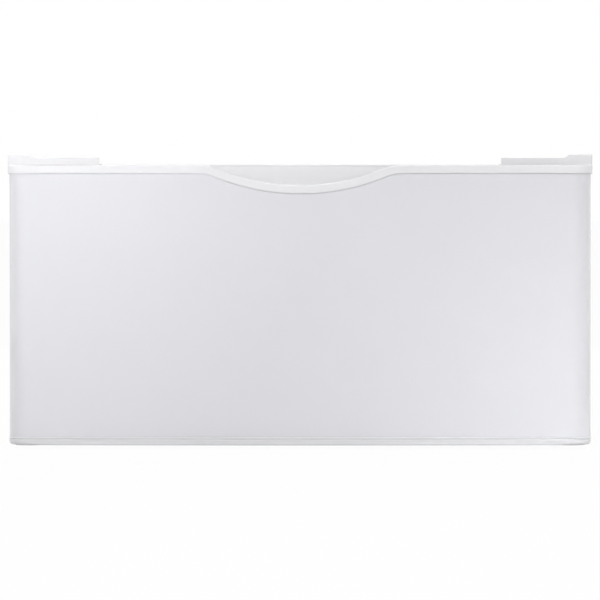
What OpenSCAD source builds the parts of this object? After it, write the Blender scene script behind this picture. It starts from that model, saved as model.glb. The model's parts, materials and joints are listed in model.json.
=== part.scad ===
// Washer pedestal drawer: a steel plinth that lifts a front-loading washer,
// with a full-width storage drawer on three-part ball-bearing slides.
// +Z is up, the drawer front faces -Y, and the origin is on the floor at the
// centre of the footprint. All sizes are in millimetres.

/* [Cabinet] */
// Width of the cabinet over the deck's side skirts
body_w = 683; // [560:1:820]
// Depth of the cabinet from its front edge to the back skirt
body_d = 665; // [554:1:800]
// Sheet thickness of the side and back panels
panel_t = 1; // [0.8:0.1:1.4]
// Sheet thickness of the deck, rails and stiffeners
deck_t = 1.2; // [1:0.1:1.6]
// Height of the deck's skirts
skirt_h = 22; // [16:1:30]
// Width of the side panel's bottom flange
bottom_flange = 25; // [18:1:32]
// Width of the side panel's rear flange
rear_flange = 15; // [10:1:24]
// Front-to-back width of the base rails
base_rail_w = 100; // [84:1:130]
// Height of the base rails
base_rail_h = 13; // [8:1:16]
// Height of the front top rail
top_rail_h = 35; // [26:1:45]
// Front-to-back width of the front top rail
top_rail_w = 36; // [24:1:50]
// Number of hat-section stiffeners under the deck
stiffener_count = 3; // [2:1:4]
// Depth of the sunk stiffening beads
bead_sink = 3; // [2:0.5:4]
// Width of the sunk stiffening beads
bead_w = 16; // [10:1:24]

/* [Drawer front] */
// Height of the drawer front
front_h = 328; // [270:1:400]
// Depth of the drawer front
front_t = 44; // [36:1:56]
// Gap between the drawer front and the cabinet
front_gap = 3; // [2:0.5:6]
// Height of the drawer front's lower edge above the floor
floor_gap = 4; // [3:1:12]
// Drop from the top of the drawer front to the deck
deck_drop = 1; // [0:0.5:3]
// How far the top trim reaches past the cabinet on each side
trim_overhang = 1.1; // [0.5:0.1:3]
// How far the trim stands proud of the steel front, to the sides
trim_proud_x = 2; // [1:0.5:4]
// How far the trim stands proud of the steel front, forwards
trim_proud_y = 1; // [0.5:0.5:3]
// Height of the top trim's band
trim_band = 10.3; // [8:0.1:14]
// Wall thickness of the trim mouldings
trim_wall = 2.5; // [2:0.1:3]
// Depth of the pull lip from front to back
lip_d = 12; // [9:1:14]
// Height of the bottom trim
sill_h = 10; // [8:0.5:14]
// Radius of the bottom trim's lower corners
sill_r = 6; // [3:0.5:8]
// Crown of the drawer front over its whole width
crown = 8; // [3:0.5:12]
// Radius of the drawer front's upright corners, seen from above
corner_r = 22; // [12:1:26]
// Sheet thickness of the drawer front and drawer bottom
skin_t = 0.8; // [0.6:0.1:1]

/* [Pull] */
// Depth of the dip in the top trim
dip_h = 23.7; // [15:0.1:30]
// Radius of the dip's hollow
dip_r = 251; // [180:1:320]
// Radius of the dip's shoulders
shoulder_r = 61; // [40:1:90]
// Depth of the finger cup below the top of the trim
cup_h = 66; // [50:1:80]
// Gap between the finger cup and the inner panel
cup_back_gap = 1.4; // [1:0.1:5]
// Wall thickness of the finger cup
cup_wall = 2; // [1.5:0.5:2.5]

/* [Drawer] */
// Sheet thickness of the drawer's walls
wall_t = 1; // [0.8:0.1:1.4]
// Gap between the base rails and the drawer
drawer_lift = 6; // [4:1:12]
// Gap between the top of the drawer and the front top rail
drawer_top_gap = 37; // [20:1:60]
// Gap between the back of the drawer and the back of the cabinet
drawer_back_gap = 71; // [50:1:90]
// Width of the walls' folded edges
wall_fold = 8; // [5:1:10]
// Height of the removable dividers
divider_h = 106; // [70:1:130]
// Sheet thickness of the dividers
divider_t = 1.2; // [1:0.1:1.5]
// Gap on each side of a divider in its guide
divider_gap = 0.6; // [0.4:0.1:1]
// Distance of each divider from the middle of the drawer
divider_y = 100; // [60:1:140]

/* [Slides] */
// Length of the slides
slide_len = 500; // [400:50:600]
// Thickness of a closed slide
slide_t = 12.7; // [12:0.1:15.3]
// Height of a slide
slide_h = 45.5; // [38:0.5:55]
// Sheet thickness of the slide members
slide_skin = 1.2; // [1:0.05:1.45]
// Height of the slide's centre line above the drawer's underside
slide_rise = 65; // [55:1:90]
// Depth of the bracket that carries the slide
bracket_d = 20.3; // [16.9:0.1:24.4]
// Diameter of the bearing balls
ball_d = 4; // [3.2:0.1:4.8]
// Balls in each row
ball_count = 8; // [4:1:8]
// Distance from ball to ball
ball_pitch = 25; // [12:1:26]

/* [Levelling feet] */
// Diameter of the foot pads
pad_d = 38; // [30:1:46]
// Height of the foot pads
pad_h = 9; // [7:0.5:11]
// Thread diameter of the foot studs
stud_d = 10; // [8:1:12]
// How far a foot can be screwed out
foot_travel = 25; // [15:1:30]
// Height of the welded nuts
nut_h = 8; // [6:0.5:9]
// Thickness of the corner gussets
gusset_t = 3; // [2:0.5:4]
// Height left between a foot's collar and its lock nut, screwed in
foot_slack = 0.7; // [0.5:0.1:12]
// Radial clearance of a stud in its nuts and its pad
stud_fit = 0.05; // [0.03:0.01:0.08]

/* [Washer seats] */
// Sheet thickness of the foot seats
seat_t = 1.5; // [1.2:0.1:2]
// Width of the front foot seats
seat_w = 107; // [90:1:130]
// Width of the rear foot seats
rear_seat_w = 86; // [74:1:100]
// Front-to-back depth of the foot seats
seat_d = 109; // [90:1:130]
// Height of the lips' low part above the deck
lip_low = 9; // [6:0.5:12]
// Height of the lips' tall part above the deck
lip_tall = 12.8; // [10:0.1:18]
// Width of the lips' tall part
tall_w = 27; // [18:1:36]
// Distance of the washer bolts from the cabinet's sides
bolt_inset = 51.5; // [40:0.5:62]
// Diameter of the washer bolt holes
bolt_hole_d = 9; // [7:0.5:11]

/* [Hidden] */

$fn = 48;
arc_steps = 8;   // points on each rounded corner
dip_steps = 40;  // points along the dip
crown_steps = 16; // points along the crown
cut = 1;         // how far a cutting shape runs past what it cuts

// Heights within a levelling foot
collar_gap = 0.3;
collar_h = 5;
lock_nut_h = stud_d / 2;
base_gap = pad_h + collar_gap + collar_h + foot_slack + lock_nut_h;

// Places from front to back
total_d = front_t + front_gap + body_d;
front_y = -total_d / 2;
front_back_y = front_y + front_t;
cab_y0 = front_back_y + front_gap;
cab_y1 = total_d / 2;
side_y0 = cab_y0 + deck_t;
side_y1 = cab_y1 - deck_t - panel_t;
rail_y0 = side_y0 + panel_t;
rail_y1 = side_y1 - panel_t;

// Places from side to side, measured from the middle
deck_x = body_w / 2;
side_out_x = deck_x - deck_t;
side_in_x = side_out_x - panel_t;
slide_x = side_in_x - bracket_d;
wall_out_x = slide_x - slide_t;
wall_in_x = wall_out_x - wall_t;
trim_x = deck_x + trim_overhang;
skin_x = trim_x - trim_proud_x;
sill_x = trim_x - trim_proud_x / 2;
bolt_x = deck_x - bolt_inset;

// Heights
front_z0 = floor_gap;
front_z1 = floor_gap + front_h;
deck_z = front_z1 - deck_drop;
deck_under_z = deck_z - deck_t;
base_plate_z = base_gap + panel_t;
gusset_z = base_plate_z + deck_t;
weld_nut_z = gusset_z + gusset_t;
base_rail_top = base_plate_z + base_rail_h;
drawer_z0 = base_rail_top + drawer_lift;
top_rail_z0 = deck_under_z - top_rail_h;
drawer_z1 = top_rail_z0 - drawer_top_gap;
slide_z = drawer_z0 + slide_rise;
skin_z0 = front_z0 + sill_h;

// Sheet-metal screws: heads, shanks and the holes that take them
screw_head_r = 4.2;
screw_head_top = 0.75; // share of the head's radius left at its top
screw_head_h = 1.2;
screw_r = 2;
screw_len = 7;
screw_hole_r = 2.1;
side_screw_z = deck_z - skirt_h / 2;
side_screw_gap = 30;
side_screw_inset = seat_d + side_screw_gap;
side_screw_ys = [cab_y0 + side_screw_inset, (cab_y0 + cab_y1) / 2, cab_y1 - side_screw_inset];
back_screw_x = side_in_x - rear_flange / 2;
back_screw_low = 35;
back_screw_high = 25;
back_screw_zs = [base_gap + back_screw_low, deck_z - skirt_h - back_screw_high];

// Colours as the photograph shows them, or as such parts are made
white = "white";
pearl = "whitesmoke";
zinc = "silver";
rubber = "dimgray";

// ---------------------------------------------------------------- helpers

module box(x0, x1, y0, y1, z0, z1) {
    translate([x0, y0, z0]) cube([x1 - x0, y1 - y0, z1 - z0]);
}

module rect(x0, x1, y0, y1) {
    translate([x0, y0]) square([x1 - x0, y1 - y0]);
}

// A rectangle and its mirror image on the other side of the level line
module rect_above_below(x0, x1, y0, y1) {
    rect(x0, x1, y0, y1);
    rect(x0, x1, -y1, -y0);
}

// A rectangle and its mirror image on the other side of the upright line
module rect_left_right(x0, x1, y0, y1) {
    rect(x0, x1, y0, y1);
    rect(-x1, -x0, y0, y1);
}

// A section drawn in X and Z, run from y0 to y1
module along_y(y0, y1) {
    translate([0, y1, 0]) rotate([90, 0, 0]) linear_extrude(y1 - y0) children();
}

// A section drawn in Y and Z, run from x0 to x1
module along_x(x0, x1) {
    translate([x0, 0, 0]) rotate([90, 0, 90]) linear_extrude(x1 - x0) children();
}

module rod_z(x, y, z0, z1, r) {
    translate([x, y, z0]) cylinder(h = z1 - z0, r = r);
}

module rod_y(x, z, y0, y1, r) {
    translate([x, y0, z]) rotate([-90, 0, 0]) cylinder(h = y1 - y0, r = r);
}

module rod_x(y, z, x0, x1, r) {
    translate([x0, y, z]) rotate([0, 90, 0]) cylinder(h = x1 - x0, r = r);
}

module hex(across_flats, h) {
    cylinder(h = h, r = across_flats / sqrt(3), $fn = 6);
}

module left() {
    mirror([1, 0, 0]) children();
}

module both_sides() {
    children();
    left() children();
}

// ------------------------------------------------- outline of the front

// Y of the crowned face, x from the middle, on a face whose half width is hx
function crown_y(x, hx, fy) = fy + crown * pow(x / hx, 2);

// The right half of the front's outline from above: crowned face, corner, side
function half_outline(hx, fy, r, by) =
    let (slope = atan(2 * crown * (hx - r) / pow(hx, 2)),
         xt = hx - r * (1 - sin(slope)),
         cx = hx - r,
         cy = crown_y(xt, hx, fy) + r * cos(slope))
    concat(
        [for (i = [0 : crown_steps - 1]) let (x = xt * i / crown_steps) [x, crown_y(x, hx, fy)]],
        [for (i = [0 : arc_steps])
            let (a = -90 + slope + (90 - slope) * i / arc_steps)
            [cx + r * cos(a), cy + r * sin(a)]],
        [[hx, by]]
    );

module front_outline(hx, fy, r, by) {
    half = half_outline(hx, fy, r, by);
    n = len(half);
    polygon(concat(half, [for (i = [n - 1 : -1 : 1]) [-half[i][0], half[i][1]]]));
}

module front_block(hx, fy, r, by, z0, z1) {
    translate([0, 0, z0]) linear_extrude(z1 - z0) front_outline(hx, fy, r, by);
}

// --------------------------------------------------- the dip in the trim

dip_sum = dip_r + shoulder_r;
dip_x = sqrt(2 * dip_sum * dip_h - pow(dip_h, 2));

// Height of a line that follows the trim's top edge, "drop" below it
function dip_z(x, drop) =
    let (a = abs(x), hollow = dip_r + drop, shoulder = shoulder_r - drop)
    a < dip_x * hollow / dip_sum
        ? front_z1 - dip_h + dip_r - sqrt(pow(hollow, 2) - pow(a, 2))
        : a < dip_x
            ? front_z1 - shoulder_r + sqrt(pow(shoulder, 2) - pow(dip_x - a, 2))
            : front_z1 - drop;

function dip_line(drop) = [
    for (i = [0 : dip_steps])
        let (x = -dip_x + 2 * dip_x * i / dip_steps)
        [x, dip_z(x, drop)]
];

// Everything below that line, down to z0
module below_dip(hx, drop, z0) {
    polygon(concat(
        [[-hx, z0], [-hx, front_z1 - drop]],
        dip_line(drop),
        [[hx, front_z1 - drop], [hx, z0]]
    ));
}

// ---------------------------------------------------------------- cabinet

// The side flange ends short of the slide, so that the drawer can pass it
flange_gap = 1.3;
front_flange = panel_t + bracket_d - flange_gap;

module side_panel() {
    color(white) difference() {
        union() {
            box(side_in_x, side_out_x, side_y0, side_y1, base_gap, deck_under_z);
            box(side_out_x - front_flange, side_out_x, side_y0, side_y0 + panel_t,
                base_gap, deck_under_z);
            box(side_in_x - rear_flange, side_out_x, side_y1 - panel_t, side_y1, base_gap, deck_under_z);
            box(side_out_x - bottom_flange, side_out_x, side_y0, side_y1, base_gap, base_plate_z);
        }
        for (y = side_screw_ys) {
            rod_x(y, side_screw_z, side_in_x - cut, side_out_x + cut, screw_hole_r);
        }
        for (z = back_screw_zs) {
            rod_y(back_screw_x, z, side_y1 - panel_t - cut, side_y1 + cut, screw_hole_r);
        }
        for (y = foot_ys) {
            rod_z(foot_x, y, base_gap - cut, base_plate_z + cut, stud_hole_r);
        }
    }
}

module right_side_panel() {
    side_panel();
}

module left_side_panel() {
    left() side_panel();
}

// Upright sunk beads stiffen the back
back_bead_count = 5;
back_bead_inset = 70;
back_bead_margin = 45;

module back_panel() {
    pitch = 2 * (side_in_x - back_bead_inset) / (back_bead_count - 1);
    z0 = base_gap + back_bead_margin;
    z1 = deck_z - skirt_h - back_bead_margin;
    color(white) difference() {
        union() {
            box(-side_out_x, side_out_x, side_y1, side_y1 + panel_t, base_gap, deck_under_z);
            for (i = [0 : back_bead_count - 1]) {
                translate([(i - (back_bead_count - 1) / 2) * pitch, side_y1 + panel_t, 0])
                    back_bead(z0, z1, bead_w / 2 + panel_t, bead_sink + panel_t);
            }
        }
        for (i = [0 : back_bead_count - 1]) {
            translate([(i - (back_bead_count - 1) / 2) * pitch, side_y1 + panel_t + cut, 0])
                back_bead(z0, z1, bead_w / 2, bead_sink + cut);
        }
        both_sides() for (z = back_screw_zs) {
            rod_y(back_screw_x, z, side_y1 - cut, side_y1 + panel_t + cut, screw_hole_r);
        }
    }
}

// A round-ended upright bar that reaches "sink" forwards of the back's face
module back_bead(z0, z1, r, sink) {
    box(-r, r, -sink, 0, z0, z1);
    rod_y(0, z0, -sink, 0, r);
    rod_y(0, z1, -sink, 0, r);
}

// The deck is a shallow tray, upside down, with sunk beads between its stiffeners
stiffener_w = 44;
stiffener_h = 22;
stiffener_flange = 14;
deck_bead_inset = 120;
deck_bead_x = side_in_x - deck_bead_inset;

function stiffener_y(i) = cab_y0 + body_d * (i + 1) / (stiffener_count + 1);

module deck_bead(r, z0, z1) {
    box(-deck_bead_x, deck_bead_x, -r, r, z0, z1);
    both_sides() rod_z(deck_bead_x, 0, z0, z1, r);
}

module top_deck() {
    pitch = body_d / (stiffener_count + 1);
    color(white) difference() {
        union() {
            box(-deck_x, deck_x, cab_y0, cab_y1, deck_under_z, deck_z);
            box(-deck_x, deck_x, cab_y0, cab_y0 + deck_t, deck_z - skirt_h, deck_z);
            box(-deck_x, deck_x, cab_y1 - deck_t, cab_y1, deck_z - skirt_h, deck_z);
            both_sides() box(side_out_x, deck_x, cab_y0, cab_y1, deck_z - skirt_h, deck_z);
            for (i = [0 : stiffener_count]) {
                translate([0, cab_y0 + pitch * (i + 0.5), 0])
                    deck_bead(bead_w / 2 + deck_t, deck_under_z - bead_sink, deck_z);
            }
        }
        for (i = [0 : stiffener_count]) {
            translate([0, cab_y0 + pitch * (i + 0.5), 0])
                deck_bead(bead_w / 2, deck_z - bead_sink, deck_z + cut);
        }
        both_sides() {
            for (y = side_screw_ys) {
                rod_x(y, side_screw_z, side_out_x - cut, deck_x + cut, screw_hole_r);
            }
            for (y = bolt_ys) {
                rod_z(bolt_x, y, deck_under_z - cut, deck_z + cut, bolt_hole_d / 2);
            }
            for (p = seat_screw_places) {
                rod_z(p[0], p[1], deck_under_z - cut, deck_z + cut, screw_hole_r);
            }
        }
    }
}

// A hat section, drawn with its crest down and its brims against z1
module hat_section(w, h, brim, t, z1) {
    rect(-w / 2, w / 2, z1 - h, z1 - h + t);
    rect_left_right(w / 2 - t, w / 2, z1 - h, z1);
    rect_left_right(w / 2 - t, w / 2 + brim, z1 - t, z1);
}

module deck_stiffeners() {
    color(zinc) for (i = [0 : stiffener_count - 1]) {
        translate([0, stiffener_y(i), 0])
            along_x(-side_in_x, side_in_x)
            hat_section(stiffener_w, stiffener_h, stiffener_flange, deck_t, deck_under_z);
    }
}

module front_top_rail() {
    color(zinc) along_x(-side_in_x, side_in_x) {
        rect(rail_y0, rail_y0 + deck_t, top_rail_z0, deck_under_z);
        rect(rail_y0, rail_y0 + top_rail_w, top_rail_z0, top_rail_z0 + deck_t);
        rect(rail_y0, rail_y0 + top_rail_w, deck_under_z - deck_t, deck_under_z);
    }
}

// A base rail is a shallow channel across the cabinet, which carries two feet
module base_rail(y0, foot_y) {
    y1 = y0 + base_rail_w;
    color(zinc) difference() {
        along_x(-side_in_x, side_in_x) {
            rect(y0, y1, base_plate_z, gusset_z);
            rect(y0, y0 + deck_t, base_plate_z, base_rail_top);
            rect(y1 - deck_t, y1, base_plate_z, base_rail_top);
        }
        both_sides() rod_z(foot_x, foot_y, base_plate_z - cut, gusset_z + cut, stud_hole_r);
    }
}

module front_base_rail() {
    base_rail(rail_y0, foot_ys[0]);
}

module rear_base_rail() {
    base_rail(rail_y1 - base_rail_w, foot_ys[1]);
}

// -------------------------------------------------------- levelling feet

nut_flats = 1.7 * stud_d;
nut_r = nut_flats / sqrt(3);
stud_hole_r = stud_d / 2 + 0.5;
foot_drawer_gap = 4;
foot_x = wall_out_x + nut_r + foot_drawer_gap;
foot_edge = 33;
foot_ys = [rail_y0 + base_rail_w - foot_edge, rail_y1 - base_rail_w / 2];
gusset_l = 60;
gusset_reach = 10;
collar_flats = 1.4 * stud_d;
pad_disc_h = 6;
pad_floor = 3;
pad_round = 1.5;
pad_edge = 1;
hub_r = 11;
stud_spare = 2;
stud_chamfer = stud_d / 10;

module at_feet() {
    for (y = foot_ys) {
        translate([foot_x, y, 0]) children();
        translate([-foot_x, y, 0]) children();
    }
}

module corner_gussets() {
    color(zinc) both_sides() for (y = foot_ys) {
        difference() {
            box(wall_out_x - gusset_reach, side_in_x, y - gusset_l / 2, y + gusset_l / 2,
                gusset_z, weld_nut_z);
            rod_z(foot_x, y, gusset_z - cut, weld_nut_z + cut, stud_hole_r);
        }
    }
}

module nut(h) {
    difference() {
        hex(nut_flats, h);
        translate([0, 0, -cut]) cylinder(h = h + 2 * cut, r = stud_d / 2 + stud_fit);
    }
}

module foot_weld_nuts() {
    color(zinc) at_feet() translate([0, 0, weld_nut_z]) nut(nut_h);
}

module foot_lock_nuts() {
    color(zinc) at_feet() translate([0, 0, base_gap - lock_nut_h]) nut(lock_nut_h);
}

// The stud turns in its pad and stays in the nut when it is screwed right out
module foot_stud() {
    bottom = pad_floor + collar_gap;
    top = weld_nut_z + nut_h + foot_travel + stud_spare;
    color(zinc) {
        translate([0, 0, bottom]) cylinder(h = top - stud_chamfer - bottom, r = stud_d / 2);
        translate([0, 0, top - stud_chamfer])
            cylinder(h = stud_chamfer, r1 = stud_d / 2, r2 = stud_d / 2 - stud_chamfer);
        translate([0, 0, pad_h + collar_gap]) hex(collar_flats, collar_h);
    }
}

module foot_pad() {
    color(rubber) difference() {
        rotate_extrude() polygon([
            [0, 0], [pad_d / 2 - pad_round, 0], [pad_d / 2, pad_round],
            [pad_d / 2, pad_disc_h - pad_edge], [pad_d / 2 - pad_edge, pad_disc_h],
            [hub_r + pad_edge, pad_disc_h], [hub_r, pad_h], [0, pad_h]
        ]);
        translate([0, 0, pad_floor]) cylinder(h = pad_h, r = stud_d / 2 + stud_fit);
    }
}

module at_foot(side, row) {
    translate([side * foot_x, foot_ys[row], 0]) children();
}

module front_left_foot_stud() {
    at_foot(-1, 0) foot_stud();
}

module front_right_foot_stud() {
    at_foot(1, 0) foot_stud();
}

module rear_left_foot_stud() {
    at_foot(-1, 1) foot_stud();
}

module rear_right_foot_stud() {
    at_foot(1, 1) foot_stud();
}

module front_left_foot_pad() {
    at_foot(-1, 0) foot_pad();
}

module front_right_foot_pad() {
    at_foot(1, 0) foot_pad();
}

module rear_left_foot_pad() {
    at_foot(-1, 1) foot_pad();
}

module rear_right_foot_pad() {
    at_foot(1, 1) foot_pad();
}

// ----------------------------------------------------------- washer seats

seat_z = deck_z + seat_t;
lip_slope = 6;
side_lip_drop = 10;
bolt_ys = [cab_y0 + seat_d / 2, cab_y1 - seat_d / 2];
seat_screw_inset = 16;
seat_inner_inset = 24;
seat_out_x = deck_x + seat_t;
flush_head_r = 3.6;
flush_head_h = seat_t - 0.2;
flush_sink = 0.15;
flush_flare = (flush_head_r - screw_r) / flush_head_h; // widening of the head and its hole per millimetre
flush_depth = flush_head_h + flush_sink + cut;

seat_screw_xs = [deck_x - seat_screw_inset, deck_x - rear_seat_w + seat_inner_inset];
seat_screw_places = [
    for (x = seat_screw_xs)
        for (y = [cab_y0 + seat_d - seat_screw_inset, cab_y1 - seat_d + seat_screw_inset])
            [x, y]
];

module seat_holes() {
    for (y = bolt_ys) {
        rod_z(bolt_x, y, deck_z - cut, seat_z + cut, bolt_hole_d / 2);
    }
    for (p = seat_screw_places) {
        rod_z(p[0], p[1], deck_z - cut, seat_z + cut, screw_hole_r);
        translate([p[0], p[1], seat_z - flush_head_h - flush_sink])
            cylinder(h = flush_depth, r1 = screw_hole_r, r2 = screw_hole_r + flush_flare * flush_depth);
    }
}

// The front seat's lip stands above the deck and is tall at its outer end
module front_seat() {
    inner_x = seat_out_x - seat_w;
    slope_x = seat_out_x - tall_w;
    back_y = cab_y0 + seat_d;
    color(white) difference() {
        union() {
            box(inner_x, seat_out_x, cab_y0, back_y, deck_z, seat_z);
            along_y(cab_y0, cab_y0 + seat_t) polygon([
                [inner_x, deck_z], [inner_x, deck_z + lip_low],
                [slope_x - lip_slope, deck_z + lip_low], [slope_x, deck_z + lip_tall],
                [seat_out_x, deck_z + lip_tall], [seat_out_x, deck_z]
            ]);
            along_x(deck_x, seat_out_x) polygon([
                [cab_y0, deck_z - side_lip_drop], [cab_y0, deck_z + lip_tall],
                [cab_y0 + tall_w, deck_z + lip_tall], [cab_y0 + tall_w + lip_slope, deck_z + lip_low],
                [back_y - 2 * lip_slope, deck_z + lip_low], [back_y, seat_z],
                [back_y, deck_z - side_lip_drop]
            ]);
        }
        seat_holes();
    }
}

// The rear seat has a low lip at the back and a side lip
module rear_seat() {
    inner_x = seat_out_x - rear_seat_w;
    front = cab_y1 - seat_d;
    color(white) difference() {
        union() {
            box(inner_x, seat_out_x, front, cab_y1, deck_z, seat_z);
            box(inner_x, seat_out_x, cab_y1 - seat_t, cab_y1, deck_z, deck_z + lip_low);
            along_x(deck_x, seat_out_x) polygon([
                [front, deck_z - side_lip_drop], [front, seat_z],
                [front + 2 * lip_slope, deck_z + lip_low], [cab_y1, deck_z + lip_low],
                [cab_y1, deck_z - side_lip_drop]
            ]);
        }
        seat_holes();
    }
}

module front_left_foot_seat() {
    left() front_seat();
}

module front_right_foot_seat() {
    front_seat();
}

module rear_left_foot_seat() {
    left() rear_seat();
}

module rear_right_foot_seat() {
    rear_seat();
}

// ----------------------------------------------------------------- screws

// A pan-head screw that points down
module screw() {
    cylinder(h = screw_head_h, r1 = screw_head_r, r2 = screw_head_top * screw_head_r);
    translate([0, 0, -screw_len]) cylinder(h = screw_len + screw_head_h / 2, r = screw_r);
}

// A countersunk screw; its head lies just under the face that the washer stands on
module flush_screw() {
    translate([0, 0, -flush_sink - flush_head_h])
        cylinder(h = flush_head_h, r1 = screw_r, r2 = flush_head_r);
    translate([0, 0, -screw_len])
        cylinder(h = screw_len - flush_sink - flush_head_h / 2, r = screw_r);
}

module cabinet_screws() {
    color(zinc) both_sides() {
        for (y = side_screw_ys) {
            translate([deck_x, y, side_screw_z]) rotate([0, 90, 0]) screw();
        }
        for (z = back_screw_zs) {
            translate([back_screw_x, side_y1 + panel_t, z]) rotate([-90, 0, 0]) screw();
        }
    }
}

module foot_seat_screws() {
    color(zinc) both_sides() for (p = seat_screw_places) {
        translate([p[0], p[1], seat_z]) flush_screw();
    }
}

// Buffers on the side flanges keep the drawer front off the steel
bumper_r = 5;
bumper_gap = 0.3;
bumper_low = 30;
bumper_high = 20;

module front_bumpers() {
    x = side_out_x - front_flange / 2;
    color(rubber) both_sides() for (z = [base_gap + bumper_low, deck_z - skirt_h - bumper_high]) {
        rod_y(x, z, front_back_y + bumper_gap, side_y0, bumper_r);
    }
}

// ----------------------------------------------------------------- slides

// Each section is drawn with u counted from the bracket towards the drawer
// and v from the slide's centre line, and then set in place on the right.
member_gap = 1;
race_gap = 0.15;
slide_y0 = cab_y0 + 4;
slide_y1 = slide_y0 + slide_len;

outer_v = slide_h / 2;
outer_race_v = outer_v - slide_skin;
outer_ball_v = outer_race_v - race_gap - ball_d / 2;
middle_v = outer_ball_v - ball_d / 2 - race_gap;
middle_race_v = middle_v - slide_skin;
inner_ball_v = middle_race_v - race_gap - ball_d / 2;
inner_v = inner_ball_v - ball_d / 2 - race_gap;

middle_u = slide_skin + member_gap;
inner_u = middle_u + slide_skin + member_gap;
outer_depth = slide_t - 3.2;
middle_depth = slide_t - 1.7;
lip_gap = 0.3;
edge_gap = 1.5;
outer_ball_u = outer_depth - slide_skin - lip_gap - ball_d / 2;
inner_ball_u = middle_depth - edge_gap - ball_d / 2;
lip_l = 1.5;
cage_t = 0.5;
cage_len = ball_pitch * ball_count;
cage_y0 = slide_y0 + (slide_len - cage_len) / 2 - 2 * ball_pitch;
cage_edge = 0.5;
cage_ball_gap = 0.1;

module slide_section() {
    translate([slide_x, slide_z]) mirror([1, 0]) children();
}

module channel(u0, u1, v, t) {
    rect(u0, u0 + t, -v, v);
    rect_above_below(u0, u1, v - t, v);
}

bracket_brim = 16;
bracket_margin = 3;
bracket_y1 = slide_y1 + 4;

module slide_bracket() {
    w = slide_h + 2 * bracket_margin;
    color(zinc) difference() {
        along_y(rail_y0, bracket_y1) translate([0, slide_z]) {
            rect(slide_x, slide_x + deck_t, -w / 2, w / 2);
            rect_above_below(slide_x, side_in_x, w / 2 - deck_t, w / 2);
            rect_above_below(side_in_x - deck_t, side_in_x, w / 2 - deck_t, w / 2 + bracket_brim);
        }
        slide_rivet_holes();
    }
}

rivet_r = 2.5;
rivet_gap = 0.05;
rivet_inset = 35;
rivet_head_r = 1.7 * rivet_r;
rivet_head_h = 1.5;
rivet_ys = [slide_y0 + rivet_inset, slide_y1 - rivet_inset];

module slide_rivet_holes() {
    for (y = rivet_ys) {
        rod_x(y, slide_z, slide_x - 2 * deck_t, slide_x + 2 * deck_t, rivet_r + rivet_gap);
    }
}

module slide_outer_member() {
    color(zinc) difference() {
        along_y(slide_y0, slide_y1) slide_section() {
            channel(0, outer_depth, outer_v, slide_skin);
            rect_above_below(outer_depth - slide_skin, outer_depth, outer_race_v - lip_l, outer_v);
        }
        slide_rivet_holes();
    }
}

// The rivets are flush inside the slide, so that the cage runs past them
module slide_rivets() {
    color(zinc) both_sides() for (y = rivet_ys) {
        rod_x(y, slide_z, slide_x - slide_skin, slide_x + deck_t + rivet_head_h / 3, rivet_r);
        rod_x(y, slide_z, slide_x + deck_t, slide_x + deck_t + rivet_head_h, rivet_head_r);
    }
}

module slide_middle_member() {
    color(zinc) along_y(slide_y0, slide_y1) slide_section() {
        channel(middle_u, middle_depth, middle_v, slide_skin);
    }
}

// The inner member's back is against the drawer wall and its edges face the cabinet
module slide_inner_member() {
    color(zinc) difference() {
        along_y(slide_y0, slide_y1) slide_section() {
            rect(slide_t - slide_skin, slide_t, -inner_v, inner_v);
            rect_above_below(inner_u, slide_t, inner_v - slide_skin, inner_v);
        }
        for (y = wall_screw_ys) {
            rod_x(y, slide_z, wall_out_x - cut, wall_out_x + slide_skin + cut, screw_hole_r);
        }
        rod_x(lever_y, slide_z, wall_out_x - cut, wall_out_x + slide_skin + cut, lever_pin_r);
    }
}

function ball_y(i) = cage_y0 + ball_pitch * (i + 0.5);

module balls(u, v) {
    for (i = [0 : ball_count - 1]) for (s = [-1, 1]) {
        translate([slide_x - u, ball_y(i), slide_z + s * v]) sphere(d = ball_d);
    }
}

// A cage is a thin channel whose two edges have a hole for each ball
module ball_cage(u0, ball_u, ball_v) {
    reach = ball_u + ball_d / 2 - cage_edge;
    color(zinc) difference() {
        along_y(cage_y0, cage_y0 + cage_len) slide_section() {
            rect(u0, u0 + cage_t, -ball_v, ball_v);
            rect_above_below(u0, reach, ball_v - cage_t / 2, ball_v + cage_t / 2);
        }
        for (i = [0 : ball_count - 1]) {
            rod_z(slide_x - ball_u, ball_y(i), slide_z - outer_v, slide_z + outer_v,
                ball_d / 2 + cage_ball_gap);
        }
    }
}

outer_cage_u = slide_skin + (member_gap - cage_t) / 2;
inner_cage_u = middle_u + slide_skin + (member_gap - cage_t) / 2;

module outer_ball_cage() {
    ball_cage(outer_cage_u, outer_ball_u, outer_ball_v);
}

module inner_ball_cage() {
    ball_cage(inner_cage_u, inner_ball_u, inner_ball_v);
}

module outer_balls() {
    color(zinc) balls(outer_ball_u, outer_ball_v);
}

module inner_balls() {
    color(zinc) balls(inner_ball_u, inner_ball_v);
}

// The release lever lies inside the inner member and turns on a rivet
lever_pin_r = 2.5;
lever_fit = 0.05;
lever_y = slide_y0 + 0.36 * slide_len;
lever_gap = 0.3;
lever_u0 = inner_u + lever_gap;
lever_u1 = slide_t - slide_skin - lever_gap;
lever_t = 3;
lever_l = 34;
lever_w = 5;
lever_hub_r = 5;
lever_tip_l = 8;
lever_tip_h = 1.5;
lever_head_gap = 0.1;

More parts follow.
